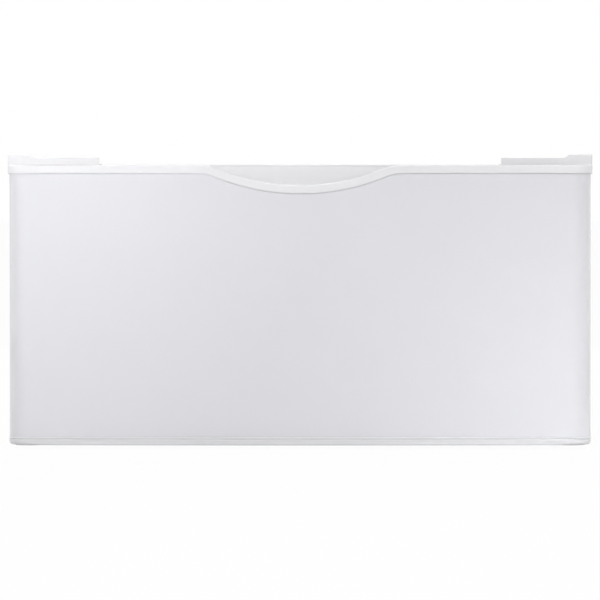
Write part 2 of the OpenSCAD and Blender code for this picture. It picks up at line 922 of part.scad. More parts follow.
module release_lever() {
    mid = slide_x - (lever_u0 + lever_u1) / 2;
    color(rubber) difference() {
        union() {
            rod_x(lever_y, slide_z, slide_x - lever_u1, slide_x - lever_u0, lever_hub_r);
            box(mid - lever_t / 2, mid + lever_t / 2, lever_y - lever_l, lever_y + lever_l,
                slide_z - lever_w / 2, slide_z + lever_w / 2);
            box(mid - lever_t / 2, mid + lever_t / 2, lever_y + lever_l - lever_tip_l, lever_y + lever_l,
                slide_z - lever_w / 2, slide_z + lever_w / 2 + lever_tip_h);
        }
        rod_x(lever_y, slide_z, slide_x - slide_t, slide_x, lever_pin_r + lever_fit);
    }
}

module lever_rivets() {
    color(zinc) both_sides()
        rod_x(lever_y, slide_z, wall_out_x, slide_x - lever_u0 + lever_head_gap, lever_pin_r);
}

module right_slide_bracket() {
    slide_bracket();
}

module left_slide_bracket() {
    left() slide_bracket();
}

module right_slide_outer_member() {
    slide_outer_member();
}

module left_slide_outer_member() {
    left() slide_outer_member();
}

module right_slide_middle_member() {
    slide_middle_member();
}

module left_slide_middle_member() {
    left() slide_middle_member();
}

module right_slide_inner_member() {
    slide_inner_member();
}

module left_slide_inner_member() {
    left() slide_inner_member();
}

module right_outer_ball_cage() {
    outer_ball_cage();
}

module left_outer_ball_cage() {
    left() outer_ball_cage();
}

module right_inner_ball_cage() {
    inner_ball_cage();
}

module left_inner_ball_cage() {
    left() inner_ball_cage();
}

module right_outer_balls() {
    outer_balls();
}

module left_outer_balls() {
    left() outer_balls();
}

module right_inner_balls() {
    inner_balls();
}

module left_inner_balls() {
    left() inner_balls();
}

module right_release_lever() {
    release_lever();
}

module left_release_lever() {
    left() release_lever();
}

// ------------------------------------------------------------- drawer box

inner_panel_y = front_back_y - skin_t;
drawer_y1 = cab_y1 - drawer_back_gap;
bottom_z = drawer_z0 + wall_t;
floor_z = bottom_z + skin_t;
wall_flange = 12;
front_tab = 15;
front_tab_margin = 15;
front_screw_x = wall_in_x - front_tab / 2;
front_screw_inset = 40;
front_screw_zs = [drawer_z0 + front_screw_inset, drawer_z1 - front_screw_inset];

// The screws into the slides keep clear of the divider guides
wall_screw_gap = 25;
wall_screw_ys = [(slide_y0 - divider_y) / 2, -divider_y + wall_screw_gap, divider_y - wall_screw_gap];

module drawer_wall() {
    color(white) difference() {
        union() {
            along_y(inner_panel_y, drawer_y1) {
                rect(wall_in_x, wall_out_x, drawer_z0, drawer_z1);
                rect(wall_in_x - wall_flange, wall_out_x, drawer_z0, bottom_z);
                rect(wall_in_x, wall_out_x + wall_fold, drawer_z1 - wall_t, drawer_z1);
                rect(wall_out_x + wall_fold - wall_t, wall_out_x + wall_fold,
                    drawer_z1 - wall_fold, drawer_z1);
            }
            box(wall_in_x - front_tab, wall_in_x, inner_panel_y, inner_panel_y + wall_t,
                drawer_z0 + front_tab_margin, drawer_z1 - front_tab_margin);
        }
        for (y = wall_screw_ys) {
            rod_x(y, slide_z, wall_in_x - cut, wall_out_x + cut, screw_hole_r);
        }
        for (z = front_screw_zs) {
            rod_y(front_screw_x, z, inner_panel_y - cut, inner_panel_y + wall_t + cut, screw_hole_r);
        }
    }
}

module drawer_right_wall() {
    drawer_wall();
}

module drawer_left_wall() {
    left() drawer_wall();
}

// Raised ribs run from front to back along the drawer's floor
rib_h = 1;
rib_r = 6;
rib_count = 4;
rib_margin = 30;

module drawer_bottom() {
    pitch = 2 * wall_in_x / rib_count;
    y0 = inner_panel_y + wall_t;
    y1 = drawer_y1 - wall_t;
    color(white) {
        box(-wall_in_x, wall_in_x, y0, y1, bottom_z, floor_z);
        for (i = [0 : rib_count - 1]) {
            translate([(i + 0.5 - rib_count / 2) * pitch, 0, 0]) {
                box(-rib_r, rib_r, y0 + rib_margin, y1 - rib_margin, bottom_z, floor_z + rib_h);
                for (y = [y0 + rib_margin, y1 - rib_margin]) {
                    rod_z(0, y, bottom_z, floor_z + rib_h, rib_r);
                }
            }
        }
    }
}

module drawer_back_wall() {
    y0 = drawer_y1 - wall_t;
    color(white) {
        along_x(-wall_in_x, wall_in_x) {
            rect(y0, drawer_y1, bottom_z, drawer_z1);
            rect(y0, drawer_y1 + wall_fold, drawer_z1 - wall_t, drawer_z1);
            rect(drawer_y1 + wall_fold - wall_t, drawer_y1 + wall_fold,
                drawer_z1 - wall_fold, drawer_z1);
        }
        both_sides() box(wall_in_x - wall_t, wall_in_x, y0 - wall_flange, y0, floor_z, drawer_z1);
    }
}

// Upright channels on the side walls hold the dividers
guide_d = 10;
guide_flange = 9;
slot_w = divider_t + 2 * divider_gap;
guide_z1 = floor_z + divider_h;

module divider_guide(y) {
    for (s = [-1, 1]) {
        translate([0, y, 0]) scale([1, s, 1]) {
            box(wall_in_x - guide_d, wall_in_x, slot_w / 2, slot_w / 2 + wall_t, floor_z, guide_z1);
            box(wall_in_x - wall_t, wall_in_x, slot_w / 2, slot_w / 2 + guide_flange, floor_z, guide_z1);
        }
    }
}

module divider_guides() {
    color(white) both_sides() {
        divider_guide(-divider_y);
        divider_guide(divider_y);
    }
}

// A divider is a sheet with a folded grip along its top edge
divider_end_gap = 1;
divider_seat_gap = 0.3;
grip_w = 10;
grip_gap = 4;
grip_hole_r = 9;
grip_hole_drop = 30;

module divider(y) {
    x = wall_in_x - divider_end_gap;
    z0 = floor_z + rib_h + divider_seat_gap;
    z1 = floor_z + divider_h;
    grip_x = x - guide_d - grip_gap;
    color(pearl) difference() {
        union() {
            box(-x, x, y - divider_t / 2, y + divider_t / 2, z0, z1);
            box(-grip_x, grip_x, y - grip_w / 2, y + grip_w / 2, z1 - divider_t, z1);
        }
        rod_y(0, z1 - grip_hole_drop, y - grip_w, y + grip_w, grip_hole_r);
    }
}

module front_divider() {
    divider(-divider_y);
}

module rear_divider() {
    divider(divider_y);
}

// Screws from inside the drawer into the slides, and into the drawer front
module drawer_screws() {
    color(zinc) both_sides() {
        for (y = wall_screw_ys) {
            translate([wall_in_x, y, slide_z]) rotate([0, -90, 0]) short_screw();
        }
        for (z = front_screw_zs) {
            translate([front_screw_x, inner_panel_y + wall_t, z]) rotate([-90, 0, 0]) screw();
        }
    }
}

// Its point ends inside the slide's thickness, clear of the ball cage
screw_point = 1;

module short_screw() {
    shank = wall_t + slide_skin + screw_point;
    cylinder(h = screw_head_h, r1 = screw_head_r, r2 = screw_head_top * screw_head_r);
    translate([0, 0, -shank]) cylinder(h = shank + screw_head_h / 2, r = screw_r);
}

// ----------------------------------------------------------- drawer front

skin_y = front_y + trim_proud_y;
sill_y = front_y + trim_proud_y / 2;
skin_flange = 14;
cup_gap = 0.4;

// Steel front: crowned face, rounded corners, sides, and folded edges
module drawer_front_skin() {
    color(white) intersection() {
        along_y(front_y - cut, front_back_y) below_dip(skin_x + cut, trim_band, skin_z0);
        difference() {
            front_block(skin_x, skin_y, corner_r, front_back_y, skin_z0, front_z1);
            difference() {
                front_block(skin_x - skin_t, skin_y + skin_t, corner_r - skin_t, front_back_y + cut,
                    skin_z0 - cut, front_z1 + cut);
                // folded edges at the top, following the dip, and at the bottom
                difference() {
                    union() {
                        along_y(front_y, front_back_y) difference() {
                            below_dip(skin_x, trim_band, skin_z0);
                            below_dip(skin_x + cut, trim_band + skin_t, skin_z0 - cut);
                        }
                        box(-trim_x, trim_x, front_y, front_back_y, skin_z0, skin_z0 + skin_t);
                    }
                    box(-trim_x - cut, trim_x + cut, skin_y + crown + skin_flange, front_back_y + cut,
                        skin_z0 - cut, front_z1 + cut);
                    cup_block(cup_wall + cup_gap, front_z1 - cup_h, front_z1 + cut);
                }
                // folded edges at the back of each side
                both_sides() box(skin_x - skin_flange, skin_x, front_back_y - skin_t, front_back_y,
                    skin_z0, front_z1 - trim_band);
            }
        }
    }
}

panel_gap = 0.3;
inner_panel_x = min(skin_x - skin_t, sill_x - trim_wall) - panel_gap;

module drawer_inner_panel() {
    color(white) difference() {
        box(-inner_panel_x, inner_panel_x, inner_panel_y - skin_t, inner_panel_y,
            front_z0 + trim_wall, front_z1 - trim_wall);
        both_sides() for (z = front_screw_zs) {
            rod_y(front_screw_x, z, inner_panel_y - skin_t - cut, inner_panel_y + cut, screw_hole_r);
        }
    }
}

// Upright hat sections between the steel front and the inner panel
front_rib_x = skin_x / 2;
front_rib_w = 40;
front_rib_brim = 14;
tape_gap = 0.5;
front_rib_margin = 12;

module front_stiffeners() {
    crest = crown_y(front_rib_x + front_rib_w / 2, skin_x, skin_y) + skin_t + tape_gap;
    base = inner_panel_y - skin_t;
    color(zinc) both_sides() translate([front_rib_x, 0, skin_z0 + front_rib_margin])
        linear_extrude(front_h - sill_h - trim_band - 2 * front_rib_margin)
        hat_section(front_rib_w, base - crest, front_rib_brim, deck_t, base);
}

// ------------------------------------------------------- trim and the pull

cup_inset = 8;
cup_half_w = dip_x - cup_inset;
cup_y0 = front_y + lip_d;
cup_d = front_t - lip_d - 2 * cup_wall - 2 * skin_t - cup_back_gap;
cup_r = (pow(cup_half_w, 2) + pow(cup_d, 2)) / (2 * cup_d);
cup_steps = 24;

// The cup from above: straight at the front, a shallow arc at the back
module cup_outline(grow) {
    half_angle = asin(cup_half_w / cup_r);
    cy = cup_y0 + cup_wall + cup_d - cup_r;
    r = cup_r + grow;
    a = asin((cup_half_w + grow) / r);
    polygon(concat(
        [for (i = [-cup_steps / 2 : cup_steps / 2])
            [r * sin(a * 2 * i / cup_steps), cy + r * cos(a * 2 * i / cup_steps)]],
        [[cup_half_w + grow, cup_y0 + cup_wall - grow], [-cup_half_w - grow, cup_y0 + cup_wall - grow]]
    ));
}

module cup_block(grow, z0, z1) {
    translate([0, 0, z0]) linear_extrude(z1 - z0) cup_outline(grow);
}

module above_dip(y0, y1) {
    along_y(y0, y1) difference() {
        rect(-dip_x, dip_x, front_z1 - 2 * dip_h, front_z1 + cut);
        below_dip(dip_x + cut, 0, front_z1 - 3 * dip_h);
    }
}

// One moulding: the band that follows the dip, the lip and the top
module handle_trim() {
    color(pearl) difference() {
        union() {
            // the band
            intersection() {
                difference() {
                    front_block(trim_x, front_y, corner_r + trim_proud_y, front_back_y,
                        front_z1 - 2 * dip_h, front_z1);
                    intersection() {
                        front_block(trim_x - trim_wall, front_y + trim_wall,
                            corner_r - trim_wall, front_back_y + cut,
                            front_z1 - 3 * dip_h, front_z1 - trim_wall);
                        box(-trim_x, trim_x, cup_y0, front_back_y + cut,
                            front_z1 - 3 * dip_h, front_z1 - trim_wall);
                    }
                }
                along_y(front_y - cut, front_back_y) difference() {
                    below_dip(trim_x + cut, 0, front_z1 - 2 * dip_h);
                    below_dip(trim_x + 2 * cut, trim_band, front_z1 - 3 * dip_h);
                }
            }
            // the top, with an edge that hangs down behind the lip
            front_block(trim_x, front_y, corner_r + trim_proud_y, front_back_y,
                front_z1 - trim_wall, front_z1);
        }
        above_dip(front_y - cut, cup_y0 + cup_wall);
        cup_block(0, front_z1 - trim_wall - cut, front_z1 + cut);
    }
}

module handle_cup() {
    z1 = front_z1 - trim_wall;
    color(pearl) difference() {
        cup_block(cup_wall, front_z1 - cup_h - cup_wall, z1);
        cup_block(0, front_z1 - cup_h, z1 + cut);
        above_dip(front_y, cup_y0 + cup_wall + cut);
    }
}

// The sill: a shallow channel under the steel front, with rounded lower corners
module bottom_trim() {
    color(pearl) intersection() {
        difference() {
            front_block(sill_x, sill_y, corner_r + trim_proud_y / 2, front_back_y, front_z0, skin_z0);
            front_block(sill_x - trim_wall, sill_y + trim_wall, corner_r - trim_wall, front_back_y + cut,
                front_z0 + trim_wall, skin_z0 + cut);
        }
        along_y(sill_y - cut, front_back_y + cut) polygon(concat(
            [for (i = [0 : arc_steps]) let (a = -90 + 90 * i / arc_steps)
                [sill_x - sill_r + sill_r * cos(a), front_z0 + sill_r + sill_r * sin(a)]],
            [[sill_x, skin_z0], [-sill_x, skin_z0]],
            [for (i = [0 : arc_steps]) let (a = 180 + 90 * i / arc_steps)
                [-sill_x + sill_r + sill_r * cos(a), front_z0 + sill_r + sill_r * sin(a)]]
        ));
    }
}

// ---------------------------------------------------------------- drawing

left_side_panel();
right_side_panel();
back_panel();
top_deck();
deck_stiffeners();
front_top_rail();
front_base_rail();
rear_base_rail();
left_slide_bracket();
right_slide_bracket();
corner_gussets();
foot_weld_nuts();
cabinet_screws();
front_bumpers();
front_left_foot_seat();
front_right_foot_seat();
rear_left_foot_seat();
rear_right_foot_seat();
foot_seat_screws();
left_slide_outer_member();
right_slide_outer_member();
slide_rivets();
foot_lock_nuts();
front_left_foot_stud();
front_right_foot_stud();
rear_left_foot_stud();
rear_right_foot_stud();
front_left_foot_pad();
front_right_foot_pad();
rear_left_foot_pad();
rear_right_foot_pad();
left_slide_middle_member();
right_slide_middle_member();
left_outer_ball_cage();
right_outer_ball_cage();
left_outer_balls();
right_outer_balls();
left_inner_ball_cage();
right_inner_ball_cage();
left_inner_balls();
right_inner_balls();
left_slide_inner_member();
right_slide_inner_member();
left_release_lever();
right_release_lever();
lever_rivets();
drawer_bottom();
drawer_left_wall();
drawer_right_wall();
drawer_back_wall();
divider_guides();
drawer_screws();
drawer_front_skin();
drawer_inner_panel();
front_stiffeners();
handle_trim();
handle_cup();
bottom_trim();
front_divider();
rear_divider();
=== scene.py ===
"""Looks of a washer pedestal drawer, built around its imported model.

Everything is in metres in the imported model's frame: +Z up, the drawer front faces -Y,
and the origin is on the floor at the centre of the footprint. Sizes below are written
in millimetres and turned into metres where a mesh is made.
"""

import json
import math

import bmesh
import bpy
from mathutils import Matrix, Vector

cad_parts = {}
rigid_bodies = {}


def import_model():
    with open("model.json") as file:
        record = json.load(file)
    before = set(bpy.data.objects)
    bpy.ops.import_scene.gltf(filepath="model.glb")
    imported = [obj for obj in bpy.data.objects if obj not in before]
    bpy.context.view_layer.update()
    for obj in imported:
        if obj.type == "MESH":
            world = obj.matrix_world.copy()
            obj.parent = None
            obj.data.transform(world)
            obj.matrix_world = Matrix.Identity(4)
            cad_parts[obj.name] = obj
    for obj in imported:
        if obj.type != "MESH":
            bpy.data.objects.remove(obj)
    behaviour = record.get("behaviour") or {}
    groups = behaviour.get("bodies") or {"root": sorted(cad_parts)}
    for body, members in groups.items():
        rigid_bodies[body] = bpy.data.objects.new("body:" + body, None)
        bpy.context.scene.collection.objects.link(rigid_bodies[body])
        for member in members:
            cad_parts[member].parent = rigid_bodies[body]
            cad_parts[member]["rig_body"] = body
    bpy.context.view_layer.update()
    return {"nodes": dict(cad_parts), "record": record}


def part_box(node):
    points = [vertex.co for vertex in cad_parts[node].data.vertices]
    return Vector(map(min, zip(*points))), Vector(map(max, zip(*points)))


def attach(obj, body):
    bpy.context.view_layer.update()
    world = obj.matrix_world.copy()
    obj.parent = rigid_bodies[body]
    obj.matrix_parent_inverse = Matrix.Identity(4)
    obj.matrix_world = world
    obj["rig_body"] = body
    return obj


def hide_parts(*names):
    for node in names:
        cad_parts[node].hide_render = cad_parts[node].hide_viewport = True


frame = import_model()
NODES = frame["nodes"]
MM = 0.001
WELD, FINE_WELD = 0.002 * MM, 0.001 * MM        # points closer than this are one point
CORNERS = ("front_left", "front_right", "rear_left", "rear_right")
SIDES = ("left", "right")


# ------------------------------------------------------------------ node trees

class Value:
    """A node's output socket that takes part in Python arithmetic."""

    def __init__(self, tree, socket):
        self.tree, self.socket = tree, socket

    def maths(self, operation, first, second=0.0):
        return self.tree.node("ShaderNodeMath", {"operation": operation}, {0: first, 1: second})

    def __add__(self, other): return self.maths("ADD", self, other)
    def __radd__(self, other): return self.maths("ADD", other, self)
    def __sub__(self, other): return self.maths("SUBTRACT", self, other)
    def __rsub__(self, other): return self.maths("SUBTRACT", other, self)
    def __mul__(self, other): return self.maths("MULTIPLY", self, other)
    def __rmul__(self, other): return self.maths("MULTIPLY", other, self)
    def __truediv__(self, other): return self.maths("DIVIDE", self, other)
    def __rtruediv__(self, other): return self.maths("DIVIDE", other, self)
    def __neg__(self): return self.maths("MULTIPLY", self, -1.0)
    def __abs__(self): return self.maths("ABSOLUTE", self)


def formula(operation, plain):
    """A function of one number that also works on a node's output."""
    return lambda v: v.maths(operation, v) if isinstance(v, Value) else plain(v)


root = formula("SQRT", math.sqrt)
sine = formula("SINE", math.sin)
cosine = formula("COSINE", math.cos)
lean_of = formula("ARCTANGENT", math.atan)
sign_of = formula("SIGN", lambda v: (v > 0) - (v < 0))
fraction = formula("FRACT", lambda v: v - math.floor(v))


def chosen(operation, plain, a, b):
    value = a if isinstance(a, Value) else b
    return value.maths(operation, a, b) if isinstance(value, Value) else plain(a, b)


def least(a, b):
    return chosen("MINIMUM", min, a, b)


def most(a, b):
    return chosen("MAXIMUM", max, a, b)


def held(value, low, high):
    return least(most(value, low), high)


def ease(value):
    value = held(value, 0.0, 1.0)
    return value * value * (3.0 - 2.0 * value)


def stepped(row, values):
    """The value at a row, straight from each listed value to the next."""
    total = values[0]
    for k, (here, after) in enumerate(zip(values, values[1:])):
        total = total + (after - here) * held(row - k, 0.0, 1.0)
    return total


class Tree:
    """A node tree; node() adds any node with its settings, its values and its links."""

    def __init__(self, tree):
        self.tree = tree

    def node(self, kind, settings=None, sockets=None, out=0):
        made = self.tree.nodes.new(kind)
        for key, value in (settings or {}).items():
            if key == "stops":
                ramp = made.color_ramp
                while len(ramp.elements) < len(value):
                    ramp.elements.new(1.0)
                for element, (place, shade) in zip(ramp.elements, value):
                    element.position, element.color = place, shade
            else:
                setattr(made, key, value)
        for key, value in (sockets or {}).items():
            for one in value if isinstance(value, list) else [value]:
                if isinstance(one, Value):
                    self.tree.links.new(one.socket, made.inputs[key])
                else:
                    made.inputs[key].default_value = one
        outputs = [o for o in made.outputs if o.enabled] if isinstance(out, int) else made.outputs
        return Value(self, outputs[out]) if len(outputs) else None


class Finish(Tree):
    """A material whose patterns read Object coordinates, in metres."""

    def __init__(self, name):
        self.material = bpy.data.materials.new(name)
        self.material.use_nodes = True
        super().__init__(self.material.node_tree)
        self.tree.nodes.clear()

    def place(self, scale=(1.0, 1.0, 1.0)):
        where = self.node("ShaderNodeTexCoord", out="Object")
        return self.node("ShaderNodeMapping", {}, {"Vector": where, "Scale": scale})

    def noise(self, size, detail=2.0, stretch=(1.0, 1.0, 1.0)):
        """Soft noise, 0 to 1, whose features are about size metres across."""
        return self.node("ShaderNodeTexNoise", {}, {
            "Vector": self.place(stretch), "Scale": 1.0 / size, "Detail": detail}, "Fac")

    def cells(self, size, out="Distance"):
        return self.node("ShaderNodeTexVoronoi", {"feature": "F1"},
                         {"Vector": self.place(), "Scale": 1.0 / size}, out)

    def ramp(self, factor, stops):
        return self.node("ShaderNodeValToRGB", {"stops": stops}, {"Fac": factor}, "Color")

    def mixed(self, factor, first, second):
        """A colour between two colours."""
        return self.node("ShaderNodeMix", {"data_type": "RGBA"}, {0: factor, 6: first, 7: second})

    def bump(self, height, depth, under=None):
        """Relief whose height runs from 0 to 1 over depth metres."""
        sockets = {"Height": height, "Distance": depth, "Strength": 1.0}
        if under is not None:
            sockets["Normal"] = under
        return self.node("ShaderNodeBump", {}, sockets, "Normal")

    def surface(self, **sockets):
        shader = self.node("ShaderNodeBsdfPrincipled", {}, sockets, "BSDF")
        self.node("ShaderNodeOutputMaterial", {}, {"Surface": shader})
        return self.material


class Form(Tree):
    """A Geometry Nodes tree with named sizes: lengths in millimetres, counts as whole numbers."""

    def __init__(self, name, **sizes):
        super().__init__(bpy.data.node_groups.new(name, "GeometryNodeTree"))
        self.name, self.sizes, self.keys = name, sizes, {}
        sockets = self.tree.interface
        sockets.new_socket("Geometry", in_out="INPUT", socket_type="NodeSocketGeometry")
        for label, value in sizes.items():
            kind = "NodeSocketInt" if isinstance(value, int) else "NodeSocketFloat"
            added = sockets.new_socket(label, in_out="INPUT", socket_type=kind)
            self.keys[label] = added.identifier
        sockets.new_socket("Geometry", in_out="OUTPUT", socket_type="NodeSocketGeometry")
        self.given = self.tree.nodes.new("NodeGroupInput")

    def size(self, label):
        return Value(self, self.given.outputs[label])

    def vector(self, x, y, z):
        return self.node("ShaderNodeCombineXYZ", {}, {"X": x, "Y": y, "Z": z})

    def skin(self, columns, rows, place):
        """A closed skin: place gives x, y and z for each column and row of a grid."""
        grid = self.node("GeometryNodeMeshGrid", {}, {
            "Size X": 1.0, "Size Y": 1.0, "Vertices X": columns, "Vertices Y": rows}, "Mesh")
        where = self.node("GeometryNodeInputPosition")
        across, along = (self.node("ShaderNodeSeparateXYZ", {}, {0: where}, axis) for axis in "XY")
        x, y, z = place((across + 0.5) * (columns - 1), (along + 0.5) * (rows - 1))
        moved = self.node("GeometryNodeSetPosition", {}, {
            "Geometry": grid, "Position": self.vector(x, y, z)})
        return self.node("GeometryNodeMergeByDistance", {}, {"Geometry": moved, "Distance": WELD})

    def turned(self, sides, profile, wave=None):
        """A solid of revolution about Z; profile runs from its bottom centre to its top centre."""
        radii, heights = zip(*profile)

        def place(column, row):
            angle = column * (2 * math.pi / sides)
            radius = stepped(row, radii)
            if wave:
                radius = radius - wave(angle, row)
            return radius * cosine(angle), radius * sine(angle), stepped(row, heights)
        return self.skin(sides + 1, len(profile), place)

    def threaded(self, radius, depth, pitch, low, high, rows, sides=24):
        """A rod with a V thread and bevelled ends."""
        flat = 0.125            # share of a flank that is level, at the crest and at the root

        def place(column, row):
            angle = column * (2 * math.pi / sides)
            z = low + (high - low) * held((row - 1) / (rows - 3), 0.0, 1.0)
            wave = 2.0 * abs(fraction(z / pitch - column / sides) - 0.5)
            r = radius - depth * held(wave * (1.0 + 2.0 * flat) - flat, 0.0, 1.0)
            r = least(least(r, radius - depth + (z - low)), radius - depth + (high - z))
            r = r * held(row, 0.0, 1.0) * held(rows - 1 - row, 0.0, 1.0)
            return r * cosine(angle), r * sine(angle), z
        return self.skin(sides + 1, rows, place)

    def cube(self, x, y, z, lift):
        block = self.node("GeometryNodeMeshCube", {}, {"Size": self.vector(x, y, z)}, "Mesh")
        return self.node("GeometryNodeTransform", {}, {
            "Geometry": block, "Translation": self.vector(0.0, 0.0, lift)})

    def merged(self, operation, sockets):
        return self.node("GeometryNodeMeshBoolean", {"operation": operation, "solver": "EXACT"},
                         sockets)

    def joined(self, *solids):
        return self.merged("UNION", {1: list(solids)})

    def common(self, *solids):
        return self.merged("INTERSECT", {1: list(solids)})

    def cut(self, solid, *tools):
        return self.merged("DIFFERENCE", {0: solid, 1: list(tools)})

    def at_points(self, shape, seed=None):
        """Sets a shape at each point of the object, its Z along the point's axis."""
        axis = self.node("GeometryNodeInputNamedAttribute", {"data_type": "FLOAT_VECTOR"},
                         {"Name": "axis"})
        turn = self.node("FunctionNodeAlignRotationToVector", {"axis": "Z"}, {"Vector": axis})
        if seed is not None:
            spin = self.node("FunctionNodeRandomValue", {"data_type": "FLOAT"},
                             {2: 0.0, 3: 2 * math.pi, "Seed": seed})
            spun = self.node("FunctionNodeEulerToRotation", {},
                             {"Euler": self.vector(0.0, 0.0, spin)})
            turn = self.node("FunctionNodeRotateRotation", {"rotation_space": "LOCAL"},
                             {"Rotation": turn, "Rotate By": spun})
        return self.node("GeometryNodeInstanceOnPoints", {}, {
            "Points": self.size("Geometry"), "Instance": shape, "Rotation": turn})

    def run(self, obj, geometry, material):
        """Ends the tree, runs it on an object with its sizes and leaves a plain mesh."""
        real = self.node("GeometryNodeRealizeInstances", {}, {"Geometry": geometry})
        dressed = self.node("GeometryNodeSetMaterial", {}, {
            "Geometry": real, "Material": material})
        self.node("NodeGroupOutput", {}, {"Geometry": dressed})
        nodes = obj.modifiers.new(self.name, "NODES")
        nodes.node_group = self.tree
        for label, value in self.sizes.items():
            nodes[self.keys[label]] = value if isinstance(value, int) else value * MM
        return settled(obj)


def tone(red, green, blue):
    return (red, green, blue, 1.0)


def shaded(colour, share):
    """A share of a colour, as a tone."""
    return tone(*(c * share for c in colour))


# -------------------------------------------------------------------- finishes

def white_enamel(name, colour, peel=0.000012):
    """Baked gloss enamel on steel: a faint orange peel, peel metres deep, under a clear skin."""
    f = Finish(name)
    cloud = f.noise(size=0.12, detail=3.0)
    waves = f.bump(f.noise(size=0.03, detail=1.0), depth=0.00003)
    return f.surface(**{
        "Base Color": f.mixed(cloud, shaded(colour, 0.985), tone(*colour)),
        "Roughness": 0.3 + 0.06 * f.noise(size=0.05),
        "Coat Weight": 0.75 + 0.1 * cloud, "Coat Roughness": 0.06,
        "Normal": f.bump(f.noise(size=0.0022, detail=1.0), peel, waves)})


def moulded_white(name, colour):
    """Injection-moulded ABS with a satin gloss and a very fine grain."""
    f = Finish(name)
    waves = f.bump(f.noise(size=0.02, detail=1.0), depth=0.00002)
    return f.surface(**{
        "Base Color": f.mixed(f.noise(size=0.06), shaded(colour, 0.985), tone(*colour)),
        "Roughness": 0.26 + 0.08 * f.noise(size=0.01, detail=3.0),
        "Coat Weight": 0.25, "Coat Roughness": 0.12,
        "Normal": f.bump(f.cells(size=0.0009), 0.000008, waves)})


def galvanised(name):
    """Zinc-coated sheet: flat crystals of spangle with their own tone and sheen."""
    f = Finish(name)
    crystal = 0.009
    grey = f.node("ShaderNodeSeparateColor", {}, {"Color": f.cells(crystal, "Color")}, "Red")
    wear = f.noise(size=0.05, detail=4.0)
    tones = [(0.0, tone(0.47, 0.49, 0.51)), (0.5, tone(0.58, 0.6, 0.62)),
             (1.0, tone(0.7, 0.71, 0.72))]
    grain = f.bump(f.noise(size=0.0015), depth=0.00001)
    return f.surface(**{
        "Base Color": f.ramp(grey * 0.7 + wear * 0.3, tones), "Metallic": 1.0,
        "Roughness": 0.34 + 0.16 * grey + 0.08 * wear,
        "Normal": f.bump(f.cells(crystal), 0.00002, grain)})


def zinc_plated(name, colour, along=(1.0, 1.0, 1.0), roughness=0.24):
    """Bright zinc plate over rolled or headed steel, with drawing lines."""
    f = Finish(name)
    lines = f.noise(size=0.0012, stretch=along)
    patch = f.noise(size=0.03, detail=3.0)
    return f.surface(**{
        "Base Color": f.mixed(0.35 * lines + 0.65 * patch, shaded(colour, 0.82), tone(*colour)),
        "Metallic": 1.0, "Roughness": roughness + 0.12 * lines + 0.1 * patch,
        "Normal": f.bump(lines, depth=0.000008)})


def bearing_steel(name):
    """Polished balls under a thin film of grease."""
    f = Finish(name)
    film = f.noise(size=0.002, detail=3.0)
    return f.surface(**{
        "Base Color": f.mixed(film, tone(0.66, 0.66, 0.68), tone(0.78, 0.78, 0.8)),
        "Metallic": 1.0, "Roughness": 0.06 + 0.1 * film})


def rubber(name):
    """Black rubber with a little dust on it."""
    f = Finish(name)
    dust = f.noise(size=0.012, detail=4.0)
    return f.surface(**{
        "Base Color": f.mixed(dust, tone(0.022, 0.022, 0.024), tone(0.06, 0.06, 0.062)),
        "Roughness": 0.72 + 0.16 * dust, "Specular IOR Level": 0.35,
        "Normal": f.bump(f.noise(size=0.0008, detail=3.0), depth=0.00004)})


def moulded_grey(name):
    """Injection-moulded grey plastic with a fine grain."""
    f = Finish(name)
    cloud = f.noise(size=0.01, detail=3.0)
    return f.surface(**{
        "Base Color": f.mixed(cloud, tone(0.2, 0.21, 0.225), tone(0.27, 0.275, 0.29)),
        "Roughness": 0.42 + 0.14 * cloud,
        "Normal": f.bump(f.cells(size=0.0006), depth=0.00002)})


ENAMEL = white_enamel("white_enamel", (0.80, 0.80, 0.835))
SHEET_WHITE = white_enamel("white_enamel_cabinet", (0.78, 0.78, 0.80), peel=0.00002)
TRIM_WHITE = moulded_white("white_moulding", (0.88, 0.88, 0.90))
SILL_WHITE = moulded_white("white_moulding_low", (0.81, 0.81, 0.83))
# painted light: the cup's moulding is a lighter copy of the trim's, to lift the shade in the
# recess behind the dip
CUP_PAINTED_LIGHT_WHITE = moulded_white("white_moulding_cup", (0.94, 0.94, 0.955))
# painted light: the seats get a lighter copy of the enamel, to lift the shade on their front lips
SEAT_PAINTED_LIGHT_WHITE = white_enamel("white_enamel_seats", (0.83, 0.83, 0.845))
ZINC_SHEET = galvanised("galvanised_sheet")
SLIDE_STEEL = zinc_plated("bright_slide_steel", (0.69, 0.70, 0.71), along=(1.0, 0.03, 1.0))
FASTENER = zinc_plated("zinc_plated_fastener", (0.72, 0.72, 0.70), roughness=0.3)
BALL_STEEL = bearing_steel("bearing_steel")
RUBBER = rubber("black_rubber")
GREY_PLASTIC = moulded_grey("grey_moulding")


# ------------------------------------------------------------ meshes and pieces

def body_of(node):
    return NODES[node]["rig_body"]


def slot_of(node):
    return next(s["material_slot"] for s in frame["record"]["subparts"] if s["node"] == node)


def box_of(node):
    """A node's lowest and highest corners, in millimetres."""
    low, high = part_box(node)
    return low / MM, high / MM


def smoothed(mesh, angle=32):
    """Shades a mesh smooth, but for its edges that turn by more than the angle in degrees."""
    mesh.polygons.foreach_set("use_smooth", [True] * len(mesh.polygons))
    mesh.set_sharp_from_angle(angle=math.radians(angle))


def settled(obj):
    """Applies every modifier to a plain mesh that keeps its shading."""
    graph = bpy.context.evaluated_depsgraph_get()
    mesh = bpy.data.meshes.new_from_object(obj.evaluated_get(graph), depsgraph=graph)
    obj.modifiers.clear()
    obj.data = mesh
    return obj


def scratch(name, data):
    """A new object in the scene, for a mesh, a lamp or a camera."""
    obj = bpy.data.objects.new(name, data)
    bpy.context.scene.collection.objects.link(obj)
    return obj


